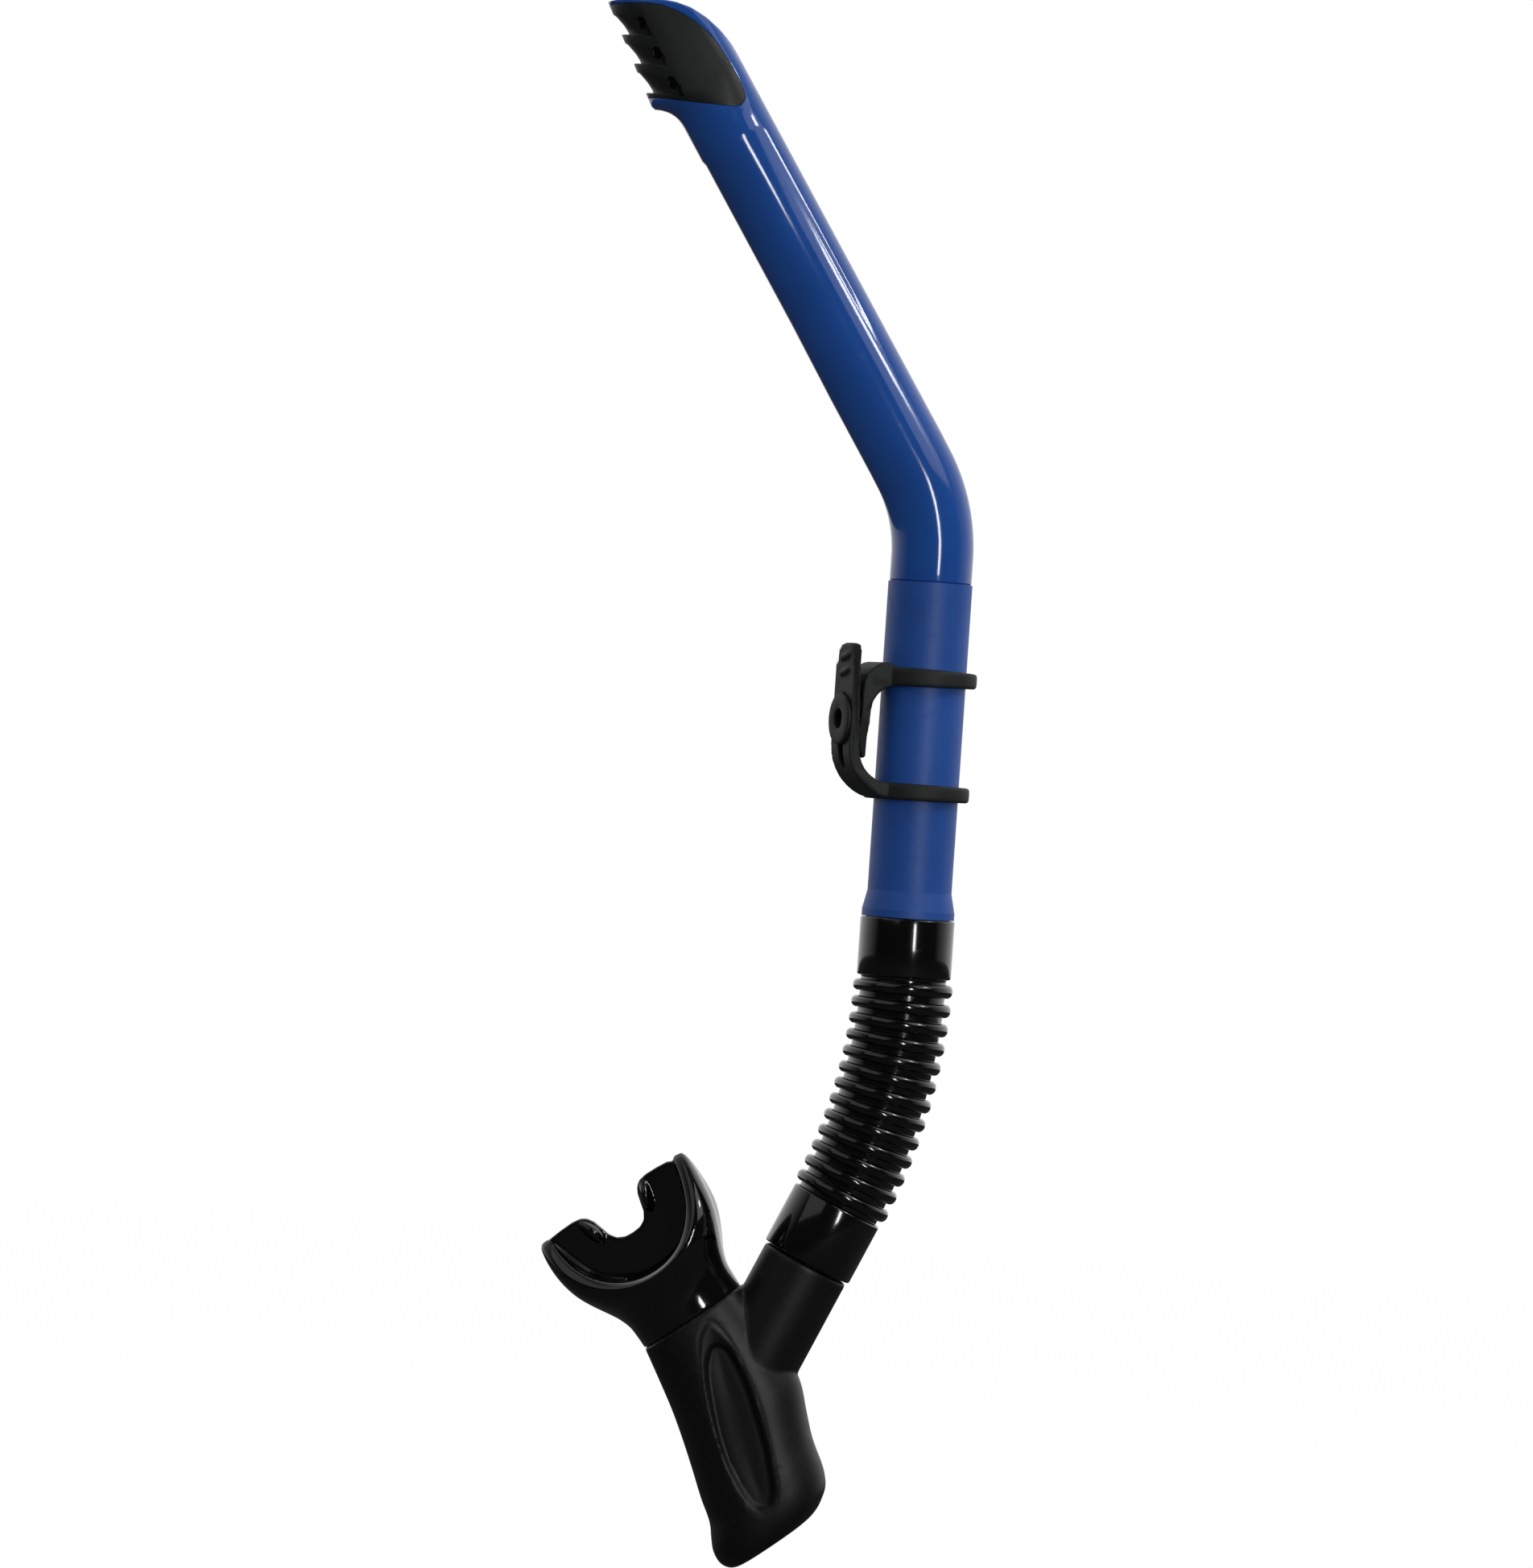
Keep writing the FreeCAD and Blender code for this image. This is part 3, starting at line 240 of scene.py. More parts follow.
def smoothed(piece, rounds):
    """Smooths the skin of the active piece a number of times."""
    modifier = piece.modifiers.new("smooth", "SMOOTH")
    modifier.factor = 0.5
    modifier.iterations = rounds
    bpy.ops.object.modifier_apply(modifier=modifier.name)


def remeshed(piece, voxel, rounds):
    """Turns a piece into one even skin and smooths its joins."""
    take(piece)
    modifier = piece.modifiers.new("remesh", "REMESH")
    modifier.mode = "VOXEL"
    modifier.voxel_size = voxel
    bpy.ops.object.modifier_apply(modifier=modifier.name)
    smoothed(piece, rounds)
    bpy.ops.object.shade_smooth()


def smooth_step(value, low, high):
    """Rises from 0 to 1 between low and high."""
    t = min(1.0, max(0.0, (value - low) / (high - low)))
    return t * t * (3 - 2 * t)


def settle(piece, material, body, slot, *nodes):
    """Gives a finished piece its material and body, and hides the CAD nodes that it stands for; slot is not
    used.
    """
    piece.data.materials.clear()
    piece.data.materials.append(material)
    if nodes:
        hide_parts(*nodes)
    if body:
        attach(piece, body)
    deselect_all()


# ---------------------------------------------------------------- shader helpers

def add_node(tree, kind, inputs=None, **settings):
    """A node with its settings and unlinked input values."""
    node = tree.nodes.new(kind)
    for key, value in settings.items():
        setattr(node, key, value)
    for key, value in (inputs or {}).items():
        node.inputs[key].default_value = value
    return node


def moulding_grain():
    """Node group: fine spark-eroded grain and broad uneven tone on object coordinates."""
    group = bpy.data.node_groups.get("Moulding Grain")
    if group:
        return group
    group = bpy.data.node_groups.new("Moulding Grain", "ShaderNodeTree")
    scale = group.interface.new_socket("Scale", in_out="INPUT", socket_type="NodeSocketFloat")
    scale.default_value = 2500.0
    for name in ("Grain", "Tone"):
        group.interface.new_socket(name, in_out="OUTPUT", socket_type="NodeSocketFloat")
    source = add_node(group, "NodeGroupInput")
    result = add_node(group, "NodeGroupOutput")
    place = add_node(group, "ShaderNodeTexCoord")
    fine = add_node(group, "ShaderNodeTexNoise", {"Detail": 3.0, "Roughness": 0.65})
    pits = add_node(group, "ShaderNodeTexVoronoi", {"Randomness": 1.0})
    broad = add_node(group, "ShaderNodeTexNoise", {"Scale": 38.0, "Detail": 4.0, "Roughness": 0.55})
    mixed = add_node(group, "ShaderNodeMix", {"Factor": 0.45}, data_type="FLOAT")
    for texture in (fine, pits, broad):
        group.links.new(place.outputs["Object"], texture.inputs["Vector"])
    group.links.new(source.outputs["Scale"], fine.inputs["Scale"])
    group.links.new(source.outputs["Scale"], pits.inputs["Scale"])
    group.links.new(fine.outputs["Fac"], mixed.inputs["A"])
    group.links.new(pits.outputs["Distance"], mixed.inputs["B"])
    group.links.new(mixed.outputs["Result"], result.inputs["Grain"])
    group.links.new(broad.outputs["Fac"], result.inputs["Tone"])
    return group


def dust_and_scuffs():
    """Node group: scattered dust specks and fine handling scratches as masks."""
    group = bpy.data.node_groups.get("Dust And Scuffs")
    if group:
        return group
    group = bpy.data.node_groups.new("Dust And Scuffs", "ShaderNodeTree")
    share = group.interface.new_socket("Speck Size", in_out="INPUT", socket_type="NodeSocketFloat")
    share.default_value = 0.1
    for name in ("Specks", "Scuffs"):
        group.interface.new_socket(name, in_out="OUTPUT", socket_type="NodeSocketFloat")
    source = add_node(group, "NodeGroupInput")
    result = add_node(group, "NodeGroupOutput")
    place = add_node(group, "ShaderNodeTexCoord")
    cells = add_node(group, "ShaderNodeTexVoronoi", {"Scale": 620.0, "Randomness": 1.0})
    near = add_node(group, "ShaderNodeMath", operation="LESS_THAN")
    patches = add_node(group, "ShaderNodeTexNoise", {"Scale": 75.0, "Detail": 3.0})
    patchy = add_node(group, "ShaderNodeMath", {1: 0.52}, operation="GREATER_THAN")
    both = add_node(group, "ShaderNodeMath", operation="MULTIPLY")
    turn = add_node(group, "ShaderNodeMapping", {"Rotation": (0.4, 0.9, 0.2), "Scale": (40.0, 900.0, 260.0)})
    lines = add_node(group, "ShaderNodeTexNoise", {"Scale": 1.0, "Detail": 2.0, "Roughness": 0.4})
    thin = add_node(group, "ShaderNodeMapRange", {"From Min": 0.62, "From Max": 0.74})
    group.links.new(place.outputs["Object"], cells.inputs["Vector"])
    group.links.new(place.outputs["Object"], patches.inputs["Vector"])
    group.links.new(place.outputs["Object"], turn.inputs["Vector"])
    group.links.new(turn.outputs["Vector"], lines.inputs["Vector"])
    group.links.new(cells.outputs["Distance"], near.inputs[0])
    group.links.new(source.outputs["Speck Size"], near.inputs[1])
    group.links.new(patches.outputs["Fac"], patchy.inputs[0])
    group.links.new(near.outputs["Value"], both.inputs[0])
    group.links.new(patchy.outputs["Value"], both.inputs[1])
    group.links.new(lines.outputs["Fac"], thin.inputs["Value"])
    group.links.new(both.outputs["Value"], result.inputs["Specks"])
    group.links.new(thin.outputs["Result"], result.inputs["Scuffs"])
    return group


def moulded(name, colour, rough, grain_scale, grain_depth, tone=0.25, speck_size=0.06,
            speck_colour=0.2, scuff=0.1, coat=0.0):
    """A moulded finish: uneven tone, surface grain, specks and scuffs over one colour."""
    material = bpy.data.materials.get(name)
    if material:
        return material
    material = bpy.data.materials.new(name)
    material.use_nodes = True
    material.diffuse_color = (*colour, 1)
    tree = material.node_tree
    tree.nodes.clear()
    surface = add_node(tree, "ShaderNodeOutputMaterial")
    shader = add_node(tree, "ShaderNodeBsdfPrincipled", {
        "Coat Weight": coat, "Coat Roughness": 0.04, "IOR": 1.5})
    grain = add_node(tree, "ShaderNodeGroup", node_tree=moulding_grain())
    grain.inputs["Scale"].default_value = grain_scale
    dirt = add_node(tree, "ShaderNodeGroup", node_tree=dust_and_scuffs())
    dirt.inputs["Speck Size"].default_value = speck_size
    dark = [channel * (1 - tone) for channel in colour] + [1]
    light = [min(1, channel * (1 + tone)) for channel in colour] + [1]
    ramp = add_node(tree, "ShaderNodeMapRange", {"From Min": 0.3, "From Max": 0.7})
    base = add_node(tree, "ShaderNodeMix", data_type="RGBA")
    base.inputs["A"].default_value = dark
    base.inputs["B"].default_value = light
    speckled = add_node(tree, "ShaderNodeMix", data_type="RGBA")
    speckled.inputs["B"].default_value = (speck_colour, speck_colour, speck_colour, 1)
    worn = add_node(tree, "ShaderNodeMapRange", {"To Min": rough, "To Max": min(1, rough + scuff)})
    uneven = add_node(tree, "ShaderNodeMath", {1: 0.06 * rough / 0.3}, operation="MULTIPLY")
    total = add_node(tree, "ShaderNodeMath", operation="ADD")
    bump = add_node(tree, "ShaderNodeBump", {"Strength": 0.35, "Distance": grain_depth})
    link = tree.links.new
    link(grain.outputs["Tone"], ramp.inputs["Value"])
    link(ramp.outputs["Result"], base.inputs["Factor"])
    link(base.outputs["Result"], speckled.inputs["A"])
    link(dirt.outputs["Specks"], speckled.inputs["Factor"])
    link(speckled.outputs["Result"], shader.inputs["Base Color"])
    link(dirt.outputs["Scuffs"], worn.inputs["Value"])
    link(grain.outputs["Grain"], uneven.inputs[0])
    link(worn.outputs["Result"], total.inputs[0])
    link(uneven.outputs["Value"], total.inputs[1])
    link(total.outputs["Value"], shader.inputs["Roughness"])
    link(grain.outputs["Grain"], bump.inputs["Height"])
    link(bump.outputs["Normal"], shader.inputs["Normal"])
    link(shader.outputs["BSDF"], surface.inputs["Surface"])
    return material


def gloss_blue():
    """Polished blue plastic of the bent tube."""
    return moulded("gloss_blue_plastic", tuple(bpy.context.scene.snorkel_colours.blue), 0.10, 900.0,
                   0.000004, tone=0.08, speck_size=0.03, scuff=0.08, coat=0.3)


def matte_blue():
    """Fine grained blue plastic of the straight tube."""
    return moulded("matte_blue_plastic", tuple(bpy.context.scene.snorkel_colours.blue), 0.42, 1900.0,
                   0.00018, tone=0.10, speck_size=0.03, scuff=0.1)


def guard_black():
    """Satin black plastic of the splash guard."""
    return moulded("satin_guard_plastic", tuple(bpy.context.scene.snorkel_colours.guard), 0.38, 1800.0,
                   0.00003, tone=0.2, speck_size=0.04, scuff=0.1)


def keeper_black():
    """Matte charcoal rubber of the keeper."""
    return moulded("charcoal_keeper_rubber", tuple(bpy.context.scene.snorkel_colours.keeper), 0.55, 1500.0,
                   0.00006, tone=0.25, speck_size=0.05, scuff=0.1)


def hose_black():
    """Glossy black silicone of the hose."""
    return moulded("glossy_hose_silicone", tuple(bpy.context.scene.snorkel_colours.silicone), 0.12, 700.0,
                   0.000002, tone=0.2, speck_size=0.06, speck_colour=0.05, scuff=0.10, coat=0.6)


def mouth_black():
    """Glossy black silicone of the mouthpiece."""
    return moulded("glossy_mouth_silicone", tuple(bpy.context.scene.snorkel_colours.silicone), 0.09, 700.0,
                   0.000002, tone=0.2, speck_size=0.065, speck_colour=0.06, scuff=0.08, coat=0.6)


def housing_black():
    """Spark-eroded black plastic of the housing."""
    return moulded("housing_plastic", tuple(bpy.context.scene.snorkel_colours.housing), 0.40, 2300.0,
                   0.00008, tone=0.2, speck_size=0.045, scuff=0.1)


def valve_grey():
    """Thin grey silicone of the purge valve."""
    return moulded("soft_valve_silicone", (0.03, 0.03, 0.033), 0.3, 1500.0, 0.00002)


# ---------------------------------------------------------------- upper tube and hood

def hood_at(reach, rise, side=0.0):
    """A point of the hood, in millimetres from the hood's floor."""
    return HOOD_FLOOR + (BARREL_FRONT * reach + BARREL_UP * rise + ACROSS * side) * MM


CROWN = [(-11.7, 25.0), (-11.4, 28.2), (-10.4, 32.2), (-8.6, 36.6), (-6.0, 41.0), (-3.0, 44.3), (0.0, 46.7),
         (3.0, 48.6), (6.5, 50.6), (10.0, 52.5), (13.8, 54.4), (20.0, 57.5)]


def crown_rise(reach):
    """Height of the hood's crown above its floor at a reach, in millimetres."""
    for (x0, z0), (x1, z1) in zip(CROWN, CROWN[1:]):
        if reach <= x1:
            return z0 + (z1 - z0) * max(0.0, (reach - x0)) / (x1 - x0)
    return CROWN[-1][1]


LIP_START, LIP_RISE, LIP_REACH = 11.0, 10.3, 17.1


def front_reach(rise):
    """Reach of the hood's front line at a height, in millimetres."""
    radius = bpy.context.scene.snorkel_sizes.tube_od / 2 / MM
    if rise < LIP_START:
        return radius
    if rise < LIP_START + LIP_RISE:
        return radius + (LIP_REACH - radius) * ((rise - LIP_START) / LIP_RISE) ** 3.2
    return LIP_REACH - 0.1 * (rise - LIP_START - LIP_RISE)


def side_point(angle, rise, inset=0.0):
    """Reach and side of the hood's wall at an angle from its front line, in millimetres."""
    sizes = bpy.context.scene.snorkel_sizes
    radius = sizes.tube_od / 2 / MM - inset
    half = radius + (sizes.hood_width / 2 / MM - inset - radius) * smooth_step(rise, 2.0, 20.0)
    nose = front_reach(rise) - half - inset
    forward = min(1.0, max(0.0, (math.cos(angle) + 0.3) / 0.6))
    cosine, sine = math.cos(angle), math.sin(angle)
    if cosine > 0:
        return nose * forward + half * cosine, half * sine
    square = 2 + 0.9 * smooth_step(rise, 4.0, 20.0)
    back, out = abs(cosine) ** (2 / square), abs(sine) ** (2 / square)
    return nose * forward - radius * back, math.copysign(half * out, sine)


def hood_columns(around, low, side_rows, inset):
    """Rings of the hood from a low level up its wall, over its edge and in to its middle."""
    columns = []
    for step in range(around):
        angle = 2 * math.pi * step / around
        edge = 0.7 + 1.1 * (1 - math.cos(angle)) / 2
        reach, _ = side_point(angle, 45.0, inset)
        columns.append((angle, edge, crown_rise(reach) - inset))
    rows = []
    for step in range(side_rows + 1):
        share = step / side_rows
        ring = []
        for angle, edge, top in columns:
            level = low + (top - edge - low) * share
            reach, side = side_point(angle, level, inset)
            ring.append(hood_at(reach, level, side))
        rows.append(ring)
    for step in range(1, 6):
        turn = math.radians(18 * step)
        ring = []
        for angle, edge, top in columns:
            reach, side = side_point(angle, top - edge, inset)
            inward = edge * (1 - math.cos(turn))
            reach -= inward * math.cos(angle)
            side -= inward * math.sin(angle)
            level = crown_rise(reach) - inset - edge * (1 - math.sin(turn))
            ring.append(hood_at(reach, level, side))
        rows.append(ring)
    for step in range(1, 8):
        share = step / 7
        ring = []
        for angle, edge, top in columns:
            reach, side = side_point(angle, top - edge, inset)
            reach -= edge * math.cos(angle)
            side -= edge * math.sin(angle)
            lift = 0.5 * (1 - (1 - share) ** 2) * abs(math.sin(angle))
            ring.append(hood_at(reach, crown_rise(reach) - inset + lift, side * (1 - share)))
        rows.append(ring)
    return rows


RIDGE = 0.4
RIDGE_EDGE = (0.66, 0.72)
RIDGE_FADE = (-82.0, -45.0)


def ridge(angle, rise):
    """Height of the back band that runs on from the hood's rim and fades down the tube."""
    behind = smooth_step(-math.cos(angle), *RIDGE_EDGE)
    return RIDGE * behind * smooth_step(rise, *RIDGE_FADE)


def tube_ring(centre, front, radius, around, rise=None):
    """A ring of the tube; front is the direction of its front line."""
    ring = []
    for step in range(around):
        angle = 2 * math.pi * step / around
        grown = radius
        if rise is not None:
            grown += (ridge(angle, rise) - RIDGE * smooth_step(rise, *RIDGE_FADE)) * MM
        ring.append(centre + front * (grown * math.cos(angle)) + ACROSS * (grown * math.sin(angle)))
    return ring


BEND_START, BEND_RADIUS, BEND = 50.8, 48.0, math.radians(32.2)


def tube_rows(low, radius, around, top_rise, banded):
    """Rings along the bent tube from its lower end to a height near the hood."""
    rows = []
    for level in (low, 46.0, 48.5, BEND_START):
        rows.append(tube_ring(Vector((0, 0, level)) * MM, Vector((-1, 0, 0)), radius, around))
    for step in range(1, 19):
        turn = BEND * step / 18
        centre = Vector((-BEND_RADIUS * (1 - math.cos(turn)), 0, BEND_START + BEND_RADIUS * math.sin(turn)))
        front = Vector((-math.cos(turn), 0, -math.sin(turn)))
        rows.append(tube_ring(centre * MM, front, radius, around))
    start = (rows[-1][0] + rows[-1][around // 2]) / 2
    first = (start - HOOD_FLOOR).dot(BARREL_UP) / MM
    count = 26
    for step in range(1, count + 1):
        rise = first + (top_rise - first) * step / count
        centre = HOOD_FLOOR + BARREL_UP * (rise * MM)
        rows.append(tube_ring(centre, BARREL_FRONT, radius, around, rise if banded else None))
    return rows


GUARD_SHAPE = [
    (24.0, 56.0), (19.0, 55.9), (14.1, 53.3), (9.0, 50.6), (4.5, 48.0), (0.8, 45.2), (-2.6, 41.2),
    (-5.2, 36.8), (-7.0, 32.2), (-8.0, 27.4), (-8.35, 22.0), (-8.4, 16.5), (-8.3, 13.4), (-7.8, 11.5),
    (-6.7, 10.2), (-5.3, 9.7), (-3.9, 10.0), (-2.0, 11.2), (4.0, 15.3), (10.2, 19.8), (16.3, 24.2),
    (24.0, 29.7)]


def guard_outline(gap):
    """Outline of the splash guard on the hood's cheek, grown inwards by a gap, in metres."""
    centre = Vector((6.0, 0, 32.0))
    points = []
    following = GUARD_SHAPE[1:] + GUARD_SHAPE[:1]
    for (reach0, rise0), (reach, rise), (reach1, rise1) in zip(
            GUARD_SHAPE[-1:] + GUARD_SHAPE[:-1], GUARD_SHAPE, following):
        before = Vector((reach0, 0, rise0))
        after = Vector((reach1, 0, rise1))
        along = (after - before).normalized()
        inward = Vector((along.z, 0, -along.x))
        if inward.dot(centre - Vector((reach, 0, rise))) < 0:
            inward.negate()
        points.append(hood_at(reach + inward.x * gap, rise + inward.z * gap))
    return points


def make_upper_tube():
    """The glossy bent tube with the hood's crown rim and lower lip."""
    radius = bpy.context.scene.snorkel_sizes.tube_od / 2
    around = 96
    low = [tube_ring(Vector((0, 0, 43.62)) * MM, Vector((-1, 0, 0)), radius - 0.35 * MM, around)]
    rows = low + tube_rows(43.95, radius, around, 0.0, True) + hood_columns(around, 1.5, 46, 0.0)
    tube = rolled("upper_tube_shell", rows)
    bore_rows = tube_rows(40.0, radius - 1.5 * MM, 64, 27.0, False)
    apply_boolean(tube, rolled("bore_cutter", bore_rows), "DIFFERENCE")
    apply_boolean(tube, prism("guard_cutter", guard_outline(0.0), 18 * MM), "DIFFERENCE")
    soften(tube, 0.28 * MM, 2)
    settle(tube, gloss_blue(), "tube", "gloss_blue", "upper_tube")


# ---------------------------------------------------------------- splash guard

FIN_TIPS = (200.2, 192.4, 184.4, 176.3)
FIN_BELOW, FIN_ABOVE = 1.35, 0.75
PORTS = ((8.4, 43.7), (8.6, 34.1), (8.8, 24.6))
PORT_REACH, PORT_RISE = 1.2, 1.9


def make_groove(number):
    """A gill shaped cutter that runs round the hood's nose between two fins."""
    sizes = bpy.context.scene.snorkel_sizes
    half, depth = sizes.hood_width / 2 / MM, sizes.groove_depth / MM
    top, bottom = FIN_TIPS[number] - FIN_BELOW, FIN_TIPS[number + 1] + FIN_ABOVE
    profile = [(0.0, -4.0), (0.0, 0.25), (0.12, 0.7), (0.5, depth * 0.8), (0.86, depth),
               (1.0, depth * 0.9), (1.0, -4.0)]
    count = 40
    rows = []
    for step in range(count + 1):
        lean = -1 + 2 * step / count
        ring = []
        for share, inward in profile:
            end_round = 0.9 * abs(2 * share - 1) ** 4
            rise = (bottom + (top - bottom) * (1 - share) - FLOOR_RISE) / LEAN_UP
            for _ in range(6):
                front = front_reach(rise)
                nose = front - half
                stop = math.acos(min(1, max(-1, (6.9 + end_round - nose) / half)))
                angle = stop * lean
                reach = nose + (half - inward) * math.cos(angle)
                back = (front - nose - half * math.cos(angle)) / 9.6
                level = bottom - 1.4 * back + (top - bottom - 1.6 * back) * (1 - share)
                rise = (level - FLOOR_RISE + LEAN_OUT * reach) / LEAN_UP
            ring.append(hood_at(reach, rise, (half - inward) * math.sin(angle)))
        rows.append(ring)
    return rolled(f"groove_cutter_{number}", rows)


def make_splash_guard():
    """The black insert of the hood: flat cheeks, fins round the nose and an air port by each groove."""
    guard = rolled("splash_guard_insert", hood_columns(96, 2.0, 60, 0.06))
    apply_boolean(guard, prism("guard_blank", guard_outline(0.14), 18 * MM), "INTERSECT")
    for number in range(len(FIN_TIPS) - 1):
        apply_boolean(guard, make_groove(number), "DIFFERENCE")
    for reach, rise in PORTS:
        for ends in ((-18.0, -5.0), (5.0, 18.0)):
            rows = []
            for side in ends:
                centre = hood_at(reach, rise, side)
                ring = []
                for step in range(24):
                    angle = 2 * math.pi * step / 24
                    ring.append(centre + BARREL_FRONT * (PORT_REACH * MM * math.cos(angle))
                                + BARREL_UP * (PORT_RISE * MM * math.sin(angle)))
                rows.append(ring)
            apply_boolean(guard, rolled("port_cutter", rows), "DIFFERENCE")
    soften(guard, 0.28 * MM, 3)
    settle(guard, guard_black(), "tube", "satin_black", "splash_guard")


# ---------------------------------------------------------------- hose

HOSE_TOP, HOSE_STRAIGHT, HOSE_ARC = -52.2, 15.8, 69.3
HOSE_RADIUS, HOSE_BEND = 162.0, math.radians(24.5)
HOSE_BORE = 11.2


def hose_station(along):
    """Centre and direction across the hose at a distance from its upper end, in millimetres."""
    if along <= HOSE_STRAIGHT:
        return Vector((0, 0, HOSE_TOP - along)) * MM, Vector((1, 0, 0))
    turned = (along - HOSE_STRAIGHT) / HOSE_RADIUS
    turn = min(turned, HOSE_BEND)
    drop = HOSE_TOP - HOSE_STRAIGHT - HOSE_RADIUS * math.sin(turn)
    centre = Vector((-HOSE_RADIUS * (1 - math.cos(turn)), 0, drop))
    down = Vector((-math.sin(turn), 0, -math.cos(turn)))
    if turned > HOSE_BEND:
        centre += down * (along - HOSE_STRAIGHT - HOSE_RADIUS * HOSE_BEND)
    return centre * MM, Vector((math.cos(turn), 0, -math.sin(turn)))


def hose_profile():
    """Distance along the hose and radius of every ring of its outer skin, in millimetres."""
    sizes = bpy.context.scene.snorkel_sizes
    crest, cuff = sizes.crest_od / 2 / MM, sizes.cuff_od / 2 / MM
    valley = crest - 2.1
    start, end = 17.2, HOSE_STRAIGHT + HOSE_ARC - 1.0
    pitch = (end - start) / sizes.crest_count
    rows = [(0.0, cuff - 0.5), (0.12, cuff - 0.15), (0.5, cuff), (8.0, cuff), (16.0, cuff),
            (16.5, cuff - 0.15), (16.7, cuff - 0.6), (16.8, valley + 0.1)]
    for number in range(sizes.crest_count):
        middle = start + pitch * (number + 0.5)
        half = pitch * 0.36
        rows.append((middle - pitch * 0.5, valley))
        rows.append((middle - pitch * 0.44, valley))
        for step in range(9):
            angle = math.pi * step / 8
            swell = (crest - valley) * math.sin(angle) ** 0.75
            rows.append((middle - half * math.cos(angle), valley + swell))
        rows.append((middle + pitch * 0.44, valley))
    for beyond, radius in ((0.3, valley), (0.5, cuff - 0.7), (0.75, cuff - 0.2), (1.3, cuff), (10.0, cuff),
                           (18.2, cuff), (18.7, cuff - 0.15), (18.9, cuff - 0.6)):
        rows.append((end + beyond, radius))
    return rows


def make_hose():
    """The corrugated drop-away hose with its smooth cuffs."""
    rows = []
    around = 72
    profile = hose_profile()
    for along, radius in profile:
        centre, across = hose_station(along)
        rows.append(oval(centre, across, radius * MM, radius * MM, around))
    last = profile[-1][0]
    for along in (last, last - 18.0, last - 19.0, 60.0, 40.0, 17.0, 16.0, 0.0):
        centre, across = hose_station(along)
        inner = TUBE_CLEAR if along > last - 18.5 or along < 16.5 else HOSE_BORE
        rows.append(oval(centre, across, inner * MM, inner * MM, around))
    rows.append(rows[0])
    hose = rolled("flex_hose_corrugated", rows, open_ends=True)
    take(hose)
    bpy.ops.object.shade_smooth_by_angle(angle=math.radians(50))
    settle(hose, hose_black(), None, "hose_silicone", "flex_hose")
    start, _ = hose_station(17.0)
    end, _ = hose_station(last - 19.0)
    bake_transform(hose)


# ---------------------------------------------------------------- keeper

TONGUE_FACE, TONGUE_BACK = 24.4, 21.3
STUD_RISE = 3.2
LOWER_BENDS = (Vector((9.8, -4.0)), 14.6), (Vector((10.8, -4.0)), 10.5)
UPPER_STRAP = [
    (12.3, 19.4), (14.5, 20.1), (16.5, 19.6), (18.5, 18.2), (20.0, 16.2), (20.7, 13.8), (20.9, 11.0),
    (20.9, 5.0), (20.9, 0.0), (20.6, -2.8), (20.0, -5.0), (19.2, -6.8), (18.5, -7.6), (17.8, -7.0),
    (18.0, -5.0), (18.3, -2.0), (18.3, 2.0), (18.1, 6.5), (17.6, 8.9), (16.4, 11.0), (14.9, 12.4),
    (13.4, 13.2), (12.3, 13.5)]
SLOT = [(0.0, 10.6), (1.6, 10.2), (2.7, 9.0), (3.1, 7.5), (3.1, 0.0), (2.8, -1.6), (2.0, -3.2), (1.6, -5.0),
        (1.5, -8.5), (1.1, -10.2), (0.0, -10.9)]
BUTTON = [(2.78, 24.5), (5.5, 24.5), (7.0, 24.5), (7.3, 24.7), (7.35, 25.1), (7.2, 25.5), (6.8, 25.65),
          (5.5, 25.7), (3.3, 25.75), (2.9, 25.6), (2.78, 25.2), (2.78, 24.5)]
RING_RISE = 16.25
STUD_RADIUS = 2.7


def keeper_at(out, across, rise):
    """A point of the keeper: out from the tube, across the straps and up, in millimetres."""
    return Matrix.Rotation(KEEPER_TURN, 3, "Z") @ Vector((-out, -across, rise)) * MM


def keeper_ring(name, middle, tall):
    """A rubber ring round the tube, taller where its strap leaves it."""
    short = 4.3
    rows = []
    for step in range(97):
        turn = 2 * math.pi * (step % 96) / 96
        half = (short + (tall - short) * (1 + math.cos(turn)) / 2) / 2
        ring = []
        for corner in range(28):
            angle = 2 * math.pi * corner / 28
            c, s = math.cos(angle), math.sin(angle)
            out = 13.6 + 1.5 * math.copysign(abs(c) ** 0.45, c)
            rise = middle + half * math.copysign(abs(s) ** 0.45, s)
            ring.append(keeper_at(out * math.cos(turn), out * math.sin(turn), rise))
        rows.append(ring)
    return rolled(name, rows, open_ends=True)


def strap(name, outline, half_width, narrow):
    """A strap from its side outline; narrow gives the share of its width at a height."""
    piece = prism(name, [Vector((-out, 0, rise)) * MM for out, rise in outline], half_width * MM)
    for vertex in piece.data.vertices:
        spread = 1 + 0.25 * (1 - smooth_step(-vertex.co.x / MM, 12.5, 19.0))
        vertex.co.y *= spread * narrow(vertex.co.z / MM)
    piece.data.transform(Matrix.Rotation(KEEPER_TURN, 4, "Z"))
    return piece


def pin(name, rings, outline):
    """A bar that stands out from the tube's axis: rings are its distances out, outline its section."""
    rows = []
    for out in rings:
        rows.append([keeper_at(out, across, rise) for across, rise in outline])
    return rolled(name, rows)


def bend_point(bend, degrees):
    """A point on one of the tongue's two bends."""
    centre, radius = bend
    angle = math.radians(degrees)
    return centre.x + radius * math.cos(angle), centre.y + radius * math.sin(angle)


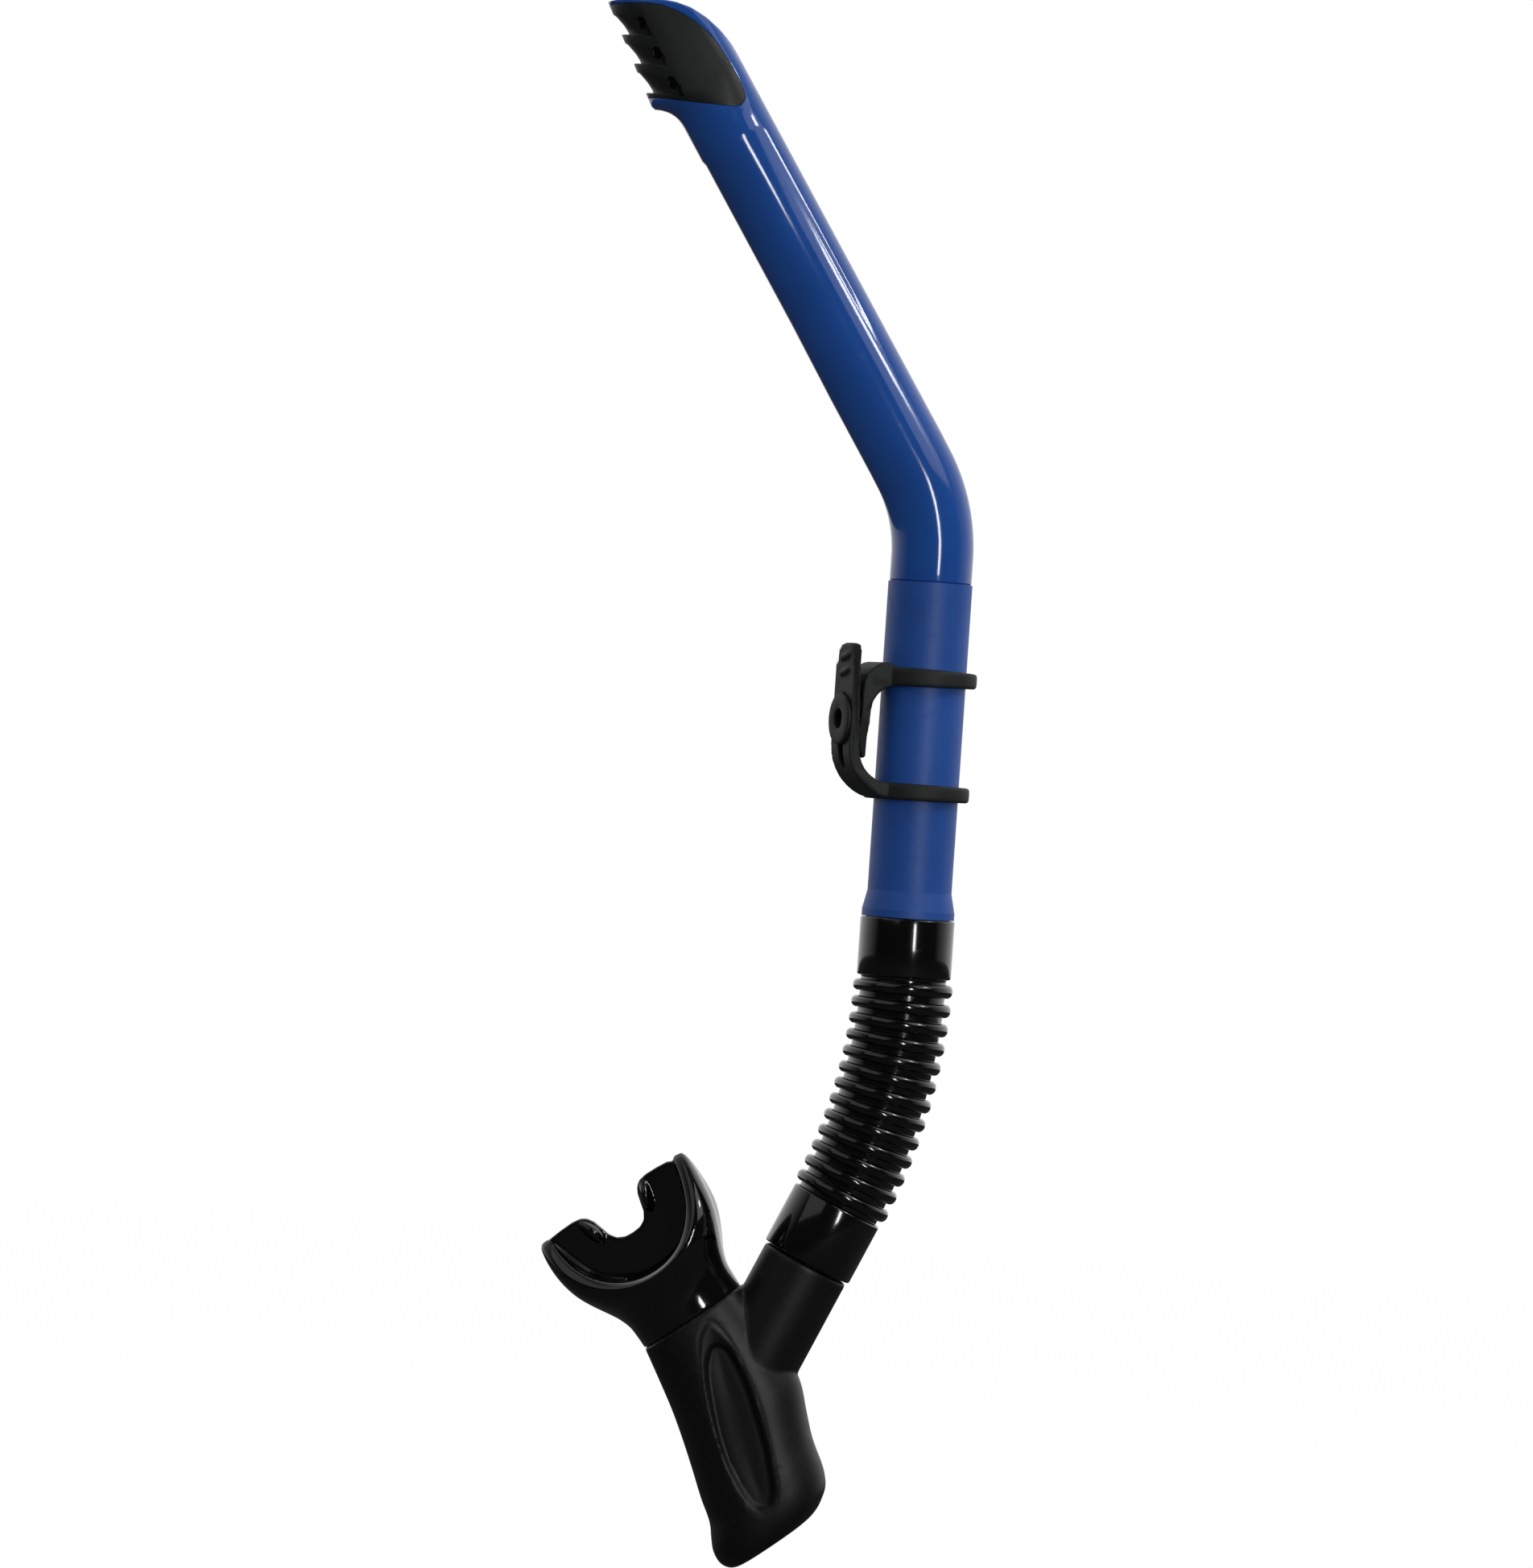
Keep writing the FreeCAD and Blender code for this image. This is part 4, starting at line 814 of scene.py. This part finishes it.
def tongue_outline():
    """Side outline of the tongue: a wide bend up from the lower ring and a straight end."""
    outer, inner = LOWER_BENDS
    levels = (17.9, 19.6, 21.2, 22.6, 23.7, 24.4)
    points = [bend_point(outer, -78 + 78 * step / 14) for step in range(15)]
    points += [(TONGUE_FACE, rise) for rise in levels]
    points += [(TONGUE_FACE - 0.5, 24.9), (TONGUE_BACK + 0.5, 24.9)]
    points += [(TONGUE_BACK, rise) for rise in reversed(levels)]
    points += [bend_point(inner, -80 * step / 14) for step in range(15)]
    return points


def tongue_share(rise):
    """Share of the tongue's width at a height: full, then round to its tip."""
    return math.sqrt(max(0.07, 1 - max(0.0, (rise - 21.0) / 4.0) ** 2))


def tail_share(rise):
    """Share of the rear strap's width at a height: narrow at its tail."""
    return 0.55 + 0.45 * smooth_step(rise, -8.0, 3.0)


def grip_rib(rise):
    """A raised rib across the tongue at a height."""
    rows = []
    for step in range(9):
        share = -1 + 2 * step / 8
        thick = 0.3 + 0.75 * math.sqrt(max(0.0, 1 - share ** 4))
        ring = []
        for corner in range(16):
            angle = 2 * math.pi * corner / 16
            level = rise + 0.6 * share + thick * math.sin(angle)
            ring.append(keeper_at(TONGUE_FACE + 0.9 * thick * math.cos(angle), 3.6 * share, level))
        rows.append(ring)
    return rolled("grip_rib", rows)


def button_ring(out, radius, count):
    """A ring round the button's axis at a distance out from the tube."""
    ring = []
    for step in range(count):
        angle = 2 * math.pi * step / count
        ring.append(keeper_at(out, radius * math.cos(angle), STUD_RISE + radius * math.sin(angle)))
    return ring


def finish_loop(piece, body, node):
    """Evens out a rubber loop, keeps it clear of the tube and finishes it."""
    remeshed(piece, 0.3 * MM, 7)
    clear = TUBE_CLEAR * MM
    for vertex in piece.data.vertices:
        radial = math.hypot(vertex.co.x, vertex.co.y)
        if radial < clear:
            vertex.co.x *= clear / radial
            vertex.co.y *= clear / radial
    settle(piece, keeper_black(), body, "keeper_rubber", node)


def make_keeper():
    """The keeper's two rubber loops and the button that joins them."""
    lower = keeper_ring("keeper_lower_band", -RING_RISE, 4.9)
    apply_boolean(lower, strap("tongue", tongue_outline(), 7.0, tongue_share), "UNION")
    slot = SLOT + [(-across, rise) for across, rise in reversed(SLOT[1:-1])]
    apply_boolean(lower, pin("slot_cutter", (17.5, 27.0), slot), "DIFFERENCE")
    for rise in (16.6, 21.0):
        apply_boolean(lower, grip_rib(rise), "UNION")
    finish_loop(lower, "keeper", "keeper_lower_loop")
    upper = keeper_ring("keeper_upper_band", RING_RISE, 5.6)
    apply_boolean(upper, strap("rear_strap", UPPER_STRAP, 6.2, tail_share), "UNION")
    stud = rolled("stud", [button_ring(out, STUD_RADIUS, 32) for out in (19.4, 24.0)])
    apply_boolean(upper, stud, "UNION")
    finish_loop(upper, "keeper_upper", "keeper_upper_loop")
    rows = [button_ring(out, radius, 64) for radius, out in BUTTON]
    button = rolled("keeper_disc", rows, open_ends=True)
    take(button)
    bpy.ops.object.shade_smooth_by_angle(angle=math.radians(50))
    settle(button, keeper_black(), "keeper_upper", "keeper_rubber", "keeper_button")


# ---------------------------------------------------------------- purge housing

BASE = Vector((-27.9, 0, -233.25)) * MM
BASE_ACROSS = Vector((0.789, 0, 0.614))
BASE_IN = Vector((-0.614, 0, 0.789))
WELL_RADIUS, WELL_DEPTH = 10.0, 7.5
PORT_RADIUS, PORT_DEPTH = 6.0, 11.0

RECESS_DEPTH = 2.4
RECESS_X, RECESS_Z = (-52.5, -24.5), (-225, -167)
RECESS_RIM = [
    (-48.9, -169.6), (-50.8, -174.2), (-50.2, -180.9), (-48.2, -191.9), (-44.5, -201.1),
    (-40.5, -210.4), (-36.7, -217.3), (-33.1, -221.6), (-29.6, -222.7), (-26.8, -220.0),
    (-26.4, -215.0), (-28.2, -207.3), (-30.7, -198.5), (-34.1, -189.8), (-38.0, -182.3),
    (-41.8, -175.8), (-46.0, -170.8)]
RECESS_FLOOR = [
    (-46.8, -175.9), (-42.8, -177.0), (-40.0, -180.7), (-37.2, -185.6), (-33.9, -193.2),
    (-30.5, -202.4), (-28.6, -209.0), (-27.5, -213.9), (-27.1, -217.4), (-28.0, -220.6),
    (-29.8, -221.6), (-31.9, -221.2), (-34.3, -219.4), (-37.6, -215.0), (-41.2, -208.8),
    (-44.2, -201.5), (-46.7, -192.9), (-48.4, -185.2), (-48.5, -179.6)]
BARREL_SIDES = [
    ((-66.35, -179.2), (-40.45, -159.3), 13.0),
    ((-61.9, -187.6), (-33.4, -167.4), 13.5),
    ((-57.6, -196.0), (-27.0, -176.4), 14.0),
    ((-53.9, -204.4), (-21.7, -185.2), 14.3),
    ((-50.4, -213.2), (-19.3, -193.6), 14.5),
    ((-47.6, -220.6), (-17.4, -200.3), 14.8),
]
BARREL_FOOT = [
    (-9.5, 27.3, 15.2, 15.0), (-11.6, 26.4, 11.2, 15.0), (-13.2, 25.3, 8.0, 14.9),
    (-13.7, 23.6, 5.0, 14.4), (-13.4, 21.2, 3.0, 13.7), (-12.4, 18.6, 1.4, 12.8),
    (-10.9, 15.6, 0.4, 11.6), (-9.0, 12.5, 0.05, 10.2)]
STUB_RADIUS = 12.8
INLET_DOWN, INLET_ACROSS = (-0.4147, 0, -0.910), (0.910, 0, -0.4147)


def base_point(across, height):
    """A point of the housing's side view, in millimetres from the middle of its base."""
    return BASE + (BASE_ACROSS * across + BASE_IN * height) * MM


def edge_distance(outline, x, z):
    """Distance of a point from a closed outline, positive inside it."""
    nearest, inside = 1e9, False
    for (x0, z0), (x1, z1) in zip(outline, outline[1:] + outline[:1]):
        dx, dz = x1 - x0, z1 - z0
        share = min(1, max(0, ((x - x0) * dx + (z - z0) * dz) / (dx * dx + dz * dz)))
        nearest = min(nearest, math.hypot(x - x0 - dx * share, z - z0 - dz * share))
        if (z0 > z) != (z1 > z) and x < x0 + dx * (z - z0) / dz:
            inside = not inside
    return nearest if inside else -nearest


def between(before, first, second, after, t):
    """Points a share t of the way along smooth curves from the first row to the second."""
    return [
        0.5 * (2 * b + (c - a) * t + (2 * a - 5 * b + 4 * c - d) * t * t + (3 * b - a - 3 * c + d) * t ** 3)
        for a, b, c, d in zip(before, first, second, after)]


def smooth_outline(outline, steps=4):
    """A closed smooth curve through an outline's points."""
    count = len(outline)
    points = []
    for index in range(count):
        corners = [outline[(index + offset) % count] for offset in (-1, 0, 1, 2)]
        for step in range(steps):
            points.append(between(*corners, step / steps))
    return points


def smooth_rows(rings, steps):
    """More rings between the given ones, on smooth curves through their points."""
    rows = []
    for index in range(len(rings) - 1):
        before, after = rings[max(0, index - 1)], rings[min(len(rings) - 1, index + 2)]
        for step in range(steps):
            rows.append(between(before, rings[index], rings[index + 1], after, step / steps))
    rows.append(rings[-1])
    return rows


def barrel_rows(around):
    """Rings of the housing's barrel from the mouthpiece seam to its rounded base."""
    rows = []
    for low, high, half in BARREL_SIDES:
        rows.append((Vector((low[0], 0, low[1])) * MM, Vector((high[0], 0, high[1])) * MM, half))
    for left, right, height, half in BARREL_FOOT:
        rows.append((base_point(left, height), base_point(right, height), half))
    rings = []
    for low, high, half in rows:
        middle, across = (low + high) / 2, (high - low) / 2
        rings.append(oval(middle, across.normalized(), across.length, half * MM, around, 2.5))
    return smooth_rows(rings, 4)


def press_recess(piece):
    """Presses the finger recess into both flanks: a ramp from its rim to a crisp floor."""
    depth = RECESS_DEPTH
    rim, floor = smooth_outline(RECESS_RIM), smooth_outline(RECESS_FLOOR)
    for vertex in piece.data.vertices:
        x, y, z = vertex.co / MM
        if abs(y) < 7 or not RECESS_X[0] < x < RECESS_X[1] or not RECESS_Z[0] < z < RECESS_Z[1]:
            continue
        outside = edge_distance(rim, x, z)
        if outside < -1.2:
            continue
        inside = edge_distance(floor, x, z)
        if inside > 0:
            step, dish = smooth_step(inside, 0.0, 0.9), smooth_step(inside, 1.0, 6.0)
            sunk = depth * (0.4 + 0.45 * step + 0.15 * dish)
        elif outside > 0:
            sunk = depth * (0.4 * outside / (outside - inside) - 0.08)
        else:
            sunk = -0.08 * depth * smooth_step(outside, -1.2, 0.0)
        vertex.co.y -= math.copysign(sunk * MM, y)


def make_housing():
    """The Y-shaped purge housing: barrel, inlet stub and finger recesses."""
    barrel = rolled("purge_housing_body", barrel_rows(72))
    inlet_down, inlet_across = Vector(INLET_DOWN).normalized(), Vector(INLET_ACROSS).normalized()
    stub_rows = []
    for along, radius in ((18.35, 12.3), (18.6, 12.65), (19.2, STUB_RADIUS), (28, STUB_RADIUS),
                          (38, STUB_RADIUS), (48, STUB_RADIUS), (57, STUB_RADIUS)):
        centre = INLET + inlet_down * (along * MM)
        stub_rows.append(oval(centre, inlet_across, radius * MM, radius * MM, 72))
    apply_boolean(barrel, rolled("inlet_stub", stub_rows), "UNION")
    remeshed(barrel, 0.52 * MM, 7)
    press_recess(barrel)
    take(barrel)
    smoothed(barrel, 1)
    turn = BASE_IN.to_track_quat("Z", "Y").to_matrix().to_4x4()
    middle = sum((Vector(corner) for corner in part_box("valve_seat")), Vector()) / 2
    centre = BASE + BASE_ACROSS * (middle - BASE).dot(BASE_ACROSS)
    for radius, depth in ((WELL_RADIUS, WELL_DEPTH), (PORT_RADIUS, PORT_DEPTH)):
        bpy.ops.mesh.primitive_cylinder_add(vertices=64, radius=radius * MM, depth=2 * depth * MM)
        cutter = bpy.context.object
        cutter.matrix_world = Matrix.Translation(centre) @ turn
        apply_boolean(barrel, cutter, "DIFFERENCE")
    bpy.ops.object.shade_smooth_by_angle(angle=math.radians(50))
    settle(barrel, housing_black(), "housing", "housing_black", "purge_housing")


# ---------------------------------------------------------------- mouthpiece

NECK = [
    (16.25, 0.12), (16.3, 4.0), (16.6, 7.5), (17.8, 11.0), (19.4, 14.2), (21.6, 18.5), (23.7, 23.2),
    (25.2, 28.0), (26.0, 33.0), (26.0, 37.0), (25.5, 39.6), (24.6, 40.7)]
NECK_SIDE = [
    (12.9, 0.12), (13.0, 3.0), (13.2, 6.0), (13.7, 8.8), (14.4, 10.8), (15.3, 12.4), (16.1, 13.7),
    (16.7, 14.6), (17.0, 15.2), (17.15, 15.7), (17.1, 16.2), (16.8, 16.5)]
INSIDE = [
    (23.2, 40.9), (21.8, 40.6), (20.8, 38.0), (20.0, 35.2), (18.9, 32.0), (17.2, 28.0), (15.0, 24.4),
    (12.8, 21.8), (11.0, 20.2), (10.8, 19.0), (12.0, 11.0), (14.2, 8.0), (14.4, 0.12)]
INSIDE_SIDE = [
    (16.2, 16.7), (15.6, 17.0), (15.0, 17.2), (14.4, 17.35), (13.6, 17.5), (12.2, 17.6), (10.4, 17.75),
    (8.4, 17.85), (6.6, 17.9), (6.4, 17.0), (8.6, 11.0), (10.9, 8.0), (11.1, 0.12)]
PLATE = [
    (0.0, 29.3), (2.6, 29.5), (4.8, 30.6), (6.2, 32.6), (6.9, 35.2), (7.7, 37.8), (8.9, 39.7),
    (10.4, 40.7), (13.0, 41.1), (17.0, 41.0), (20.6, 40.7), (22.6, 39.6), (22.6, 36.0), (21.2, 32.0),
    (19.2, 27.6), (16.4, 23.4), (13.0, 20.4), (8.0, 18.2), (3.0, 17.0)]
PLATE_SHIFT = -0.8
PLATE_THICK = 2.9
MOUTH_LEAN = math.radians(5)


def mouth_at(across, out, side=0.0):
    """A point of the mouthpiece, in millimetres from the middle of its seam."""
    return SEAM + (MOUTH_ACROSS * across + MOUTH_OUT * out + ACROSS * side) * MM


def mouth_ring(end, flank, square, around):
    """A ring of the mouthpiece; end and flank are its reach and height at the tips and the sides."""
    ring = []
    for step in range(around):
        angle = 2 * math.pi * step / around
        c, s = math.cos(angle), math.sin(angle)
        x, y = abs(c) ** (2 / square), abs(s) ** (2 / square)
        climb = 1 - math.sqrt(max(0.0, 1 - x * x))
        out = flank[1] + (end[1] - flank[1]) * climb
        ring.append(mouth_at(math.copysign(end[0] * x, c), out, math.copysign(flank[0] * y, s)))
    return ring


def make_bite_plate():
    """The notched plate and its two grip beads inside the lip flange."""
    right = [mouth_at(reach + PLATE_SHIFT, out) for reach, out in PLATE]
    left = [mouth_at(PLATE_SHIFT - reach, out) for reach, out in reversed(PLATE[1:])]
    plate = prism("bite_plate", right + left, PLATE_THICK / 2 * MM)
    for hand in (-1, 1):
        rows = []
        for step in range(11):
            share = step / 10
            reach = 8.6 + 2.6 * share ** 1.6
            swell = math.sin(math.pi * (0.06 + 0.9 * share)) ** 0.6
            centre = mouth_at(hand * reach + PLATE_SHIFT, 31.2 + 9.4 * share)
            rows.append(oval(centre, MOUTH_ACROSS, 1.9 * swell * MM, 4.2 * swell * MM, 24, 2.3))
        apply_boolean(plate, rolled("grip_bead", rows), "UNION")
    return plate


def make_mouthpiece():
    """The silicone mouthpiece: neck, arched lip flange and bite plate."""
    around = 128
    rows = []
    for index, (end, flank) in enumerate(zip(NECK, NECK_SIDE)):
        rows.append(mouth_ring(end, flank, 2.1 + 0.55 * index / (len(NECK) - 1), around))
    for index, (end, flank) in enumerate(zip(INSIDE, INSIDE_SIDE)):
        share = min(1.0, index / 8)
        rows.append(mouth_ring(end, flank, 2.65 - 0.6 * share, around))
    rows = smooth_rows(rows, 3)
    rows.append(rows[0])
    mouth = rolled("mouthpiece_silicone", rows, open_ends=True)
    apply_boolean(mouth, make_bite_plate(), "UNION")
    remeshed(mouth, 0.40 * MM, 2)
    for vertex in mouth.data.vertices:
        offset = vertex.co - SEAM
        across, out, side = offset.dot(MOUTH_ACROSS), offset.dot(MOUTH_OUT), offset.y
        turn = MOUTH_LEAN * smooth_step(out, 1.0 * MM, 15.0 * MM)
        if across > 0:
            across *= 1 - 0.07 * smooth_step(out, 10.0 * MM, 34.0 * MM)
        vertex.co = (SEAM + MOUTH_OUT * out
                     + MOUTH_ACROSS * (across * math.cos(turn) + side * math.sin(turn))
                     + ACROSS * (side * math.cos(turn) - across * math.sin(turn)))
    settle(mouth, mouth_black(), "housing", "mouth_silicone", "mouthpiece")


# ---------------------------------------------------------------- carried-over nodes

def finish_node(node, material):
    """Puts a finish on a CAD node that stays."""
    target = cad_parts[node]
    if not target.material_slots:
        target.data.materials.append(material)
    for entry in target.material_slots:
        entry.material = material


# ---------------------------------------------------------------- stage

CAMERA_AT = (-42.7, -2400.0, -16.7)
CAMERA_ROLL = math.radians(3.89)
SENSOR_WIDTH, PICTURE_WIDTH = 36, 446.3
FLOOR_DROP = 60.0
LIGHTS = [
    ("window", (0.345, -1.0, 0.085), 0.10, 0.40, 2.2),
    ("lamp", (0.76, -0.34, 0.70), 0.15, 0.13, 1.0),
    ("softbox", (0.85, -0.55, 0.95), 0.9, 0.9, 2.7),
    ("overhead", (-0.75, -0.75, 0.9), 1.2, 1.2, 1.8),
]


def make_floor():
    """A pale plain floor, low enough for every pose and dark in reflections."""
    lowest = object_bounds()[0].z
    bpy.ops.mesh.primitive_circle_add(
        vertices=96, radius=2.4, fill_type="NGON", location=(0, 0.4, lowest - FLOOR_DROP * MM))
    floor = bpy.context.object
    floor.name = "floor"
    pale = bpy.data.materials.new("pale_floor")
    pale.use_nodes = True
    tree = pale.node_tree
    tree.nodes.clear()
    surface = add_node(tree, "ShaderNodeOutputMaterial")
    paint = add_node(tree, "ShaderNodeBsdfDiffuse", {"Color": (0.1, 0.1, 0.1, 1)})
    glow = add_node(tree, "ShaderNodeEmission", {"Color": (1, 1, 1, 1)})
    rays = add_node(tree, "ShaderNodeLightPath")
    lift = add_node(tree, "ShaderNodeMath", {1: 0.96}, operation="MULTIPLY")
    both = add_node(tree, "ShaderNodeAddShader")
    tree.links.new(rays.outputs["Is Camera Ray"], lift.inputs[0])
    tree.links.new(lift.outputs["Value"], glow.inputs["Strength"])
    tree.links.new(paint.outputs["BSDF"], both.inputs[0])
    tree.links.new(glow.outputs["Emission"], both.inputs[1])
    tree.links.new(both.outputs["Shader"], surface.inputs["Surface"])
    floor.data.materials.append(pale)
    floor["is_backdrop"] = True


def make_world():
    """White behind the part, and a soft light that falls off from behind to the front."""
    world = bpy.data.worlds.new("studio")
    bpy.context.scene.world = world
    world.use_nodes = True
    tree = world.node_tree
    tree.nodes.clear()
    result = add_node(tree, "ShaderNodeOutputWorld")
    seen = add_node(tree, "ShaderNodeBackground", {"Color": (1, 1, 1, 1), "Strength": 1.0})
    soft = add_node(tree, "ShaderNodeBackground", {"Strength": 1.0})
    place = add_node(tree, "ShaderNodeTexCoord")
    split = add_node(tree, "ShaderNodeSeparateXYZ")
    ramp = add_node(tree, "ShaderNodeMapRange",
                    {"From Min": -0.25, "From Max": 0.6, "To Min": 0.03, "To Max": 0.8})
    rays = add_node(tree, "ShaderNodeLightPath")
    mix = add_node(tree, "ShaderNodeMixShader")
    tree.links.new(place.outputs["Generated"], split.inputs["Vector"])
    tree.links.new(split.outputs["Y"], ramp.inputs["Value"])
    tree.links.new(ramp.outputs["Result"], soft.inputs["Color"])
    tree.links.new(rays.outputs["Is Camera Ray"], mix.inputs["Fac"])
    tree.links.new(soft.outputs["Background"], mix.inputs[1])
    tree.links.new(seen.outputs["Background"], mix.inputs[2])
    tree.links.new(mix.outputs["Shader"], result.inputs["Surface"])


def make_stage():
    """The floor, the light and the camera."""
    deselect_all()
    scene = bpy.context.scene
    scene.view_settings.view_transform = "Standard"
    make_floor()
    make_world()
    for name, spot, wide, tall, power in LIGHTS:
        bpy.ops.object.light_add(type="AREA", location=spot)
        lamp = bpy.context.object
        lamp.name = name
        lamp.data.shape = "RECTANGLE"
        lamp.data.size = wide
        lamp.data.size_y = tall
        lamp.data.energy = power
        toward = Vector((-0.04, 0, 0.0)) - Vector(spot)
        lamp.rotation_euler = toward.to_track_quat("-Z", "Y").to_euler()
    bpy.ops.object.camera_add(location=Vector(CAMERA_AT) * MM)
    camera = bpy.context.object
    camera.rotation_euler = (math.pi / 2, -CAMERA_ROLL, 0)
    camera.data.sensor_width = SENSOR_WIDTH
    camera.data.lens = SENSOR_WIDTH * -CAMERA_AT[1] / PICTURE_WIDTH
    scene.camera = camera


# ---------------------------------------------------------------- operators and panel

class SNORKEL_OT_stage(bpy.types.Operator):
    """Adds the floor, the light and the camera"""

    bl_idname = "snorkel.stage"
    bl_label = "Stage"

    def execute(self, context):
        make_stage()
        return {"FINISHED"}


class SNORKEL_OT_upper_tube(bpy.types.Operator):
    """Models the glossy bent tube and its hood"""

    bl_idname = "snorkel.upper_tube"
    bl_label = "Upper Tube"

    def execute(self, context):
        make_upper_tube()
        return {"FINISHED"}


class SNORKEL_OT_splash_guard(bpy.types.Operator):
    """Models the finned insert of the hood"""

    bl_idname = "snorkel.splash_guard"
    bl_label = "Splash Guard"

    def execute(self, context):
        make_splash_guard()
        return {"FINISHED"}


class SNORKEL_OT_hose(bpy.types.Operator):
    """Models the corrugated hose"""

    bl_idname = "snorkel.hose"
    bl_label = "Hose"

    def execute(self, context):
        make_hose()
        return {"FINISHED"}


class SNORKEL_OT_keeper(bpy.types.Operator):
    """Models the keeper's loops and button"""

    bl_idname = "snorkel.keeper"
    bl_label = "Keeper"

    def execute(self, context):
        make_keeper()
        return {"FINISHED"}


class SNORKEL_OT_housing(bpy.types.Operator):
    """Models the purge housing"""

    bl_idname = "snorkel.housing"
    bl_label = "Purge Housing"

    def execute(self, context):
        make_housing()
        return {"FINISHED"}


class SNORKEL_OT_mouthpiece(bpy.types.Operator):
    """Models the silicone mouthpiece"""

    bl_idname = "snorkel.mouthpiece"
    bl_label = "Mouthpiece"

    def execute(self, context):
        make_mouthpiece()
        return {"FINISHED"}


class SNORKEL_OT_plain_nodes(bpy.types.Operator):
    """Gives the pieces that keep their frame shape their finishes"""

    bl_idname = "snorkel.plain_nodes"
    bl_label = "Frame Finishes"

    def execute(self, context):
        finish_node("lower_tube", matte_blue())
        for node in ("valve_seat", "purge_cover"):
            finish_node(node, housing_black())
        finish_node("purge_valve", valve_grey())
        return {"FINISHED"}


OPERATORS = (
    SNORKEL_OT_stage,
    SNORKEL_OT_upper_tube,
    SNORKEL_OT_splash_guard,
    SNORKEL_OT_hose,
    SNORKEL_OT_keeper,
    SNORKEL_OT_housing,
    SNORKEL_OT_mouthpiece,
    SNORKEL_OT_plain_nodes,
)


class SNORKEL_PT_panel(bpy.types.Panel):
    """Sidebar panel with the sizes, the colours and one button for each piece"""

    bl_idname = "SNORKEL_PT_panel"
    bl_label = "Snorkel"
    bl_space_type = "VIEW_3D"
    bl_region_type = "UI"
    bl_category = "Snorkel"

    def draw(self, context):
        for settings in (context.scene.snorkel_sizes, context.scene.snorkel_colours):
            column = self.layout.column(align=True)
            for name in settings.__annotations__:
                column.prop(settings, name)
        for operator in OPERATORS:
            self.layout.operator(operator.bl_idname)


CLASSES = (SnorkelSizes, SnorkelColours, *OPERATORS, SNORKEL_PT_panel)


def register():
    """Registers the classes and the scene's settings."""
    for entry in CLASSES:
        bpy.utils.register_class(entry)
    bpy.types.Scene.snorkel_sizes = bpy.props.PointerProperty(type=SnorkelSizes)
    bpy.types.Scene.snorkel_colours = bpy.props.PointerProperty(type=SnorkelColours)


def unregister():
    """Removes the settings and the classes."""
    del bpy.types.Scene.snorkel_colours
    del bpy.types.Scene.snorkel_sizes
    for entry in reversed(CLASSES):
        bpy.utils.unregister_class(entry)


def main():
    """Builds every piece."""
    register()
    for operator in OPERATORS:
        group, name = operator.bl_idname.split(".")
        getattr(getattr(bpy.ops, group), name)()


if __name__ == "__main__":
    main()
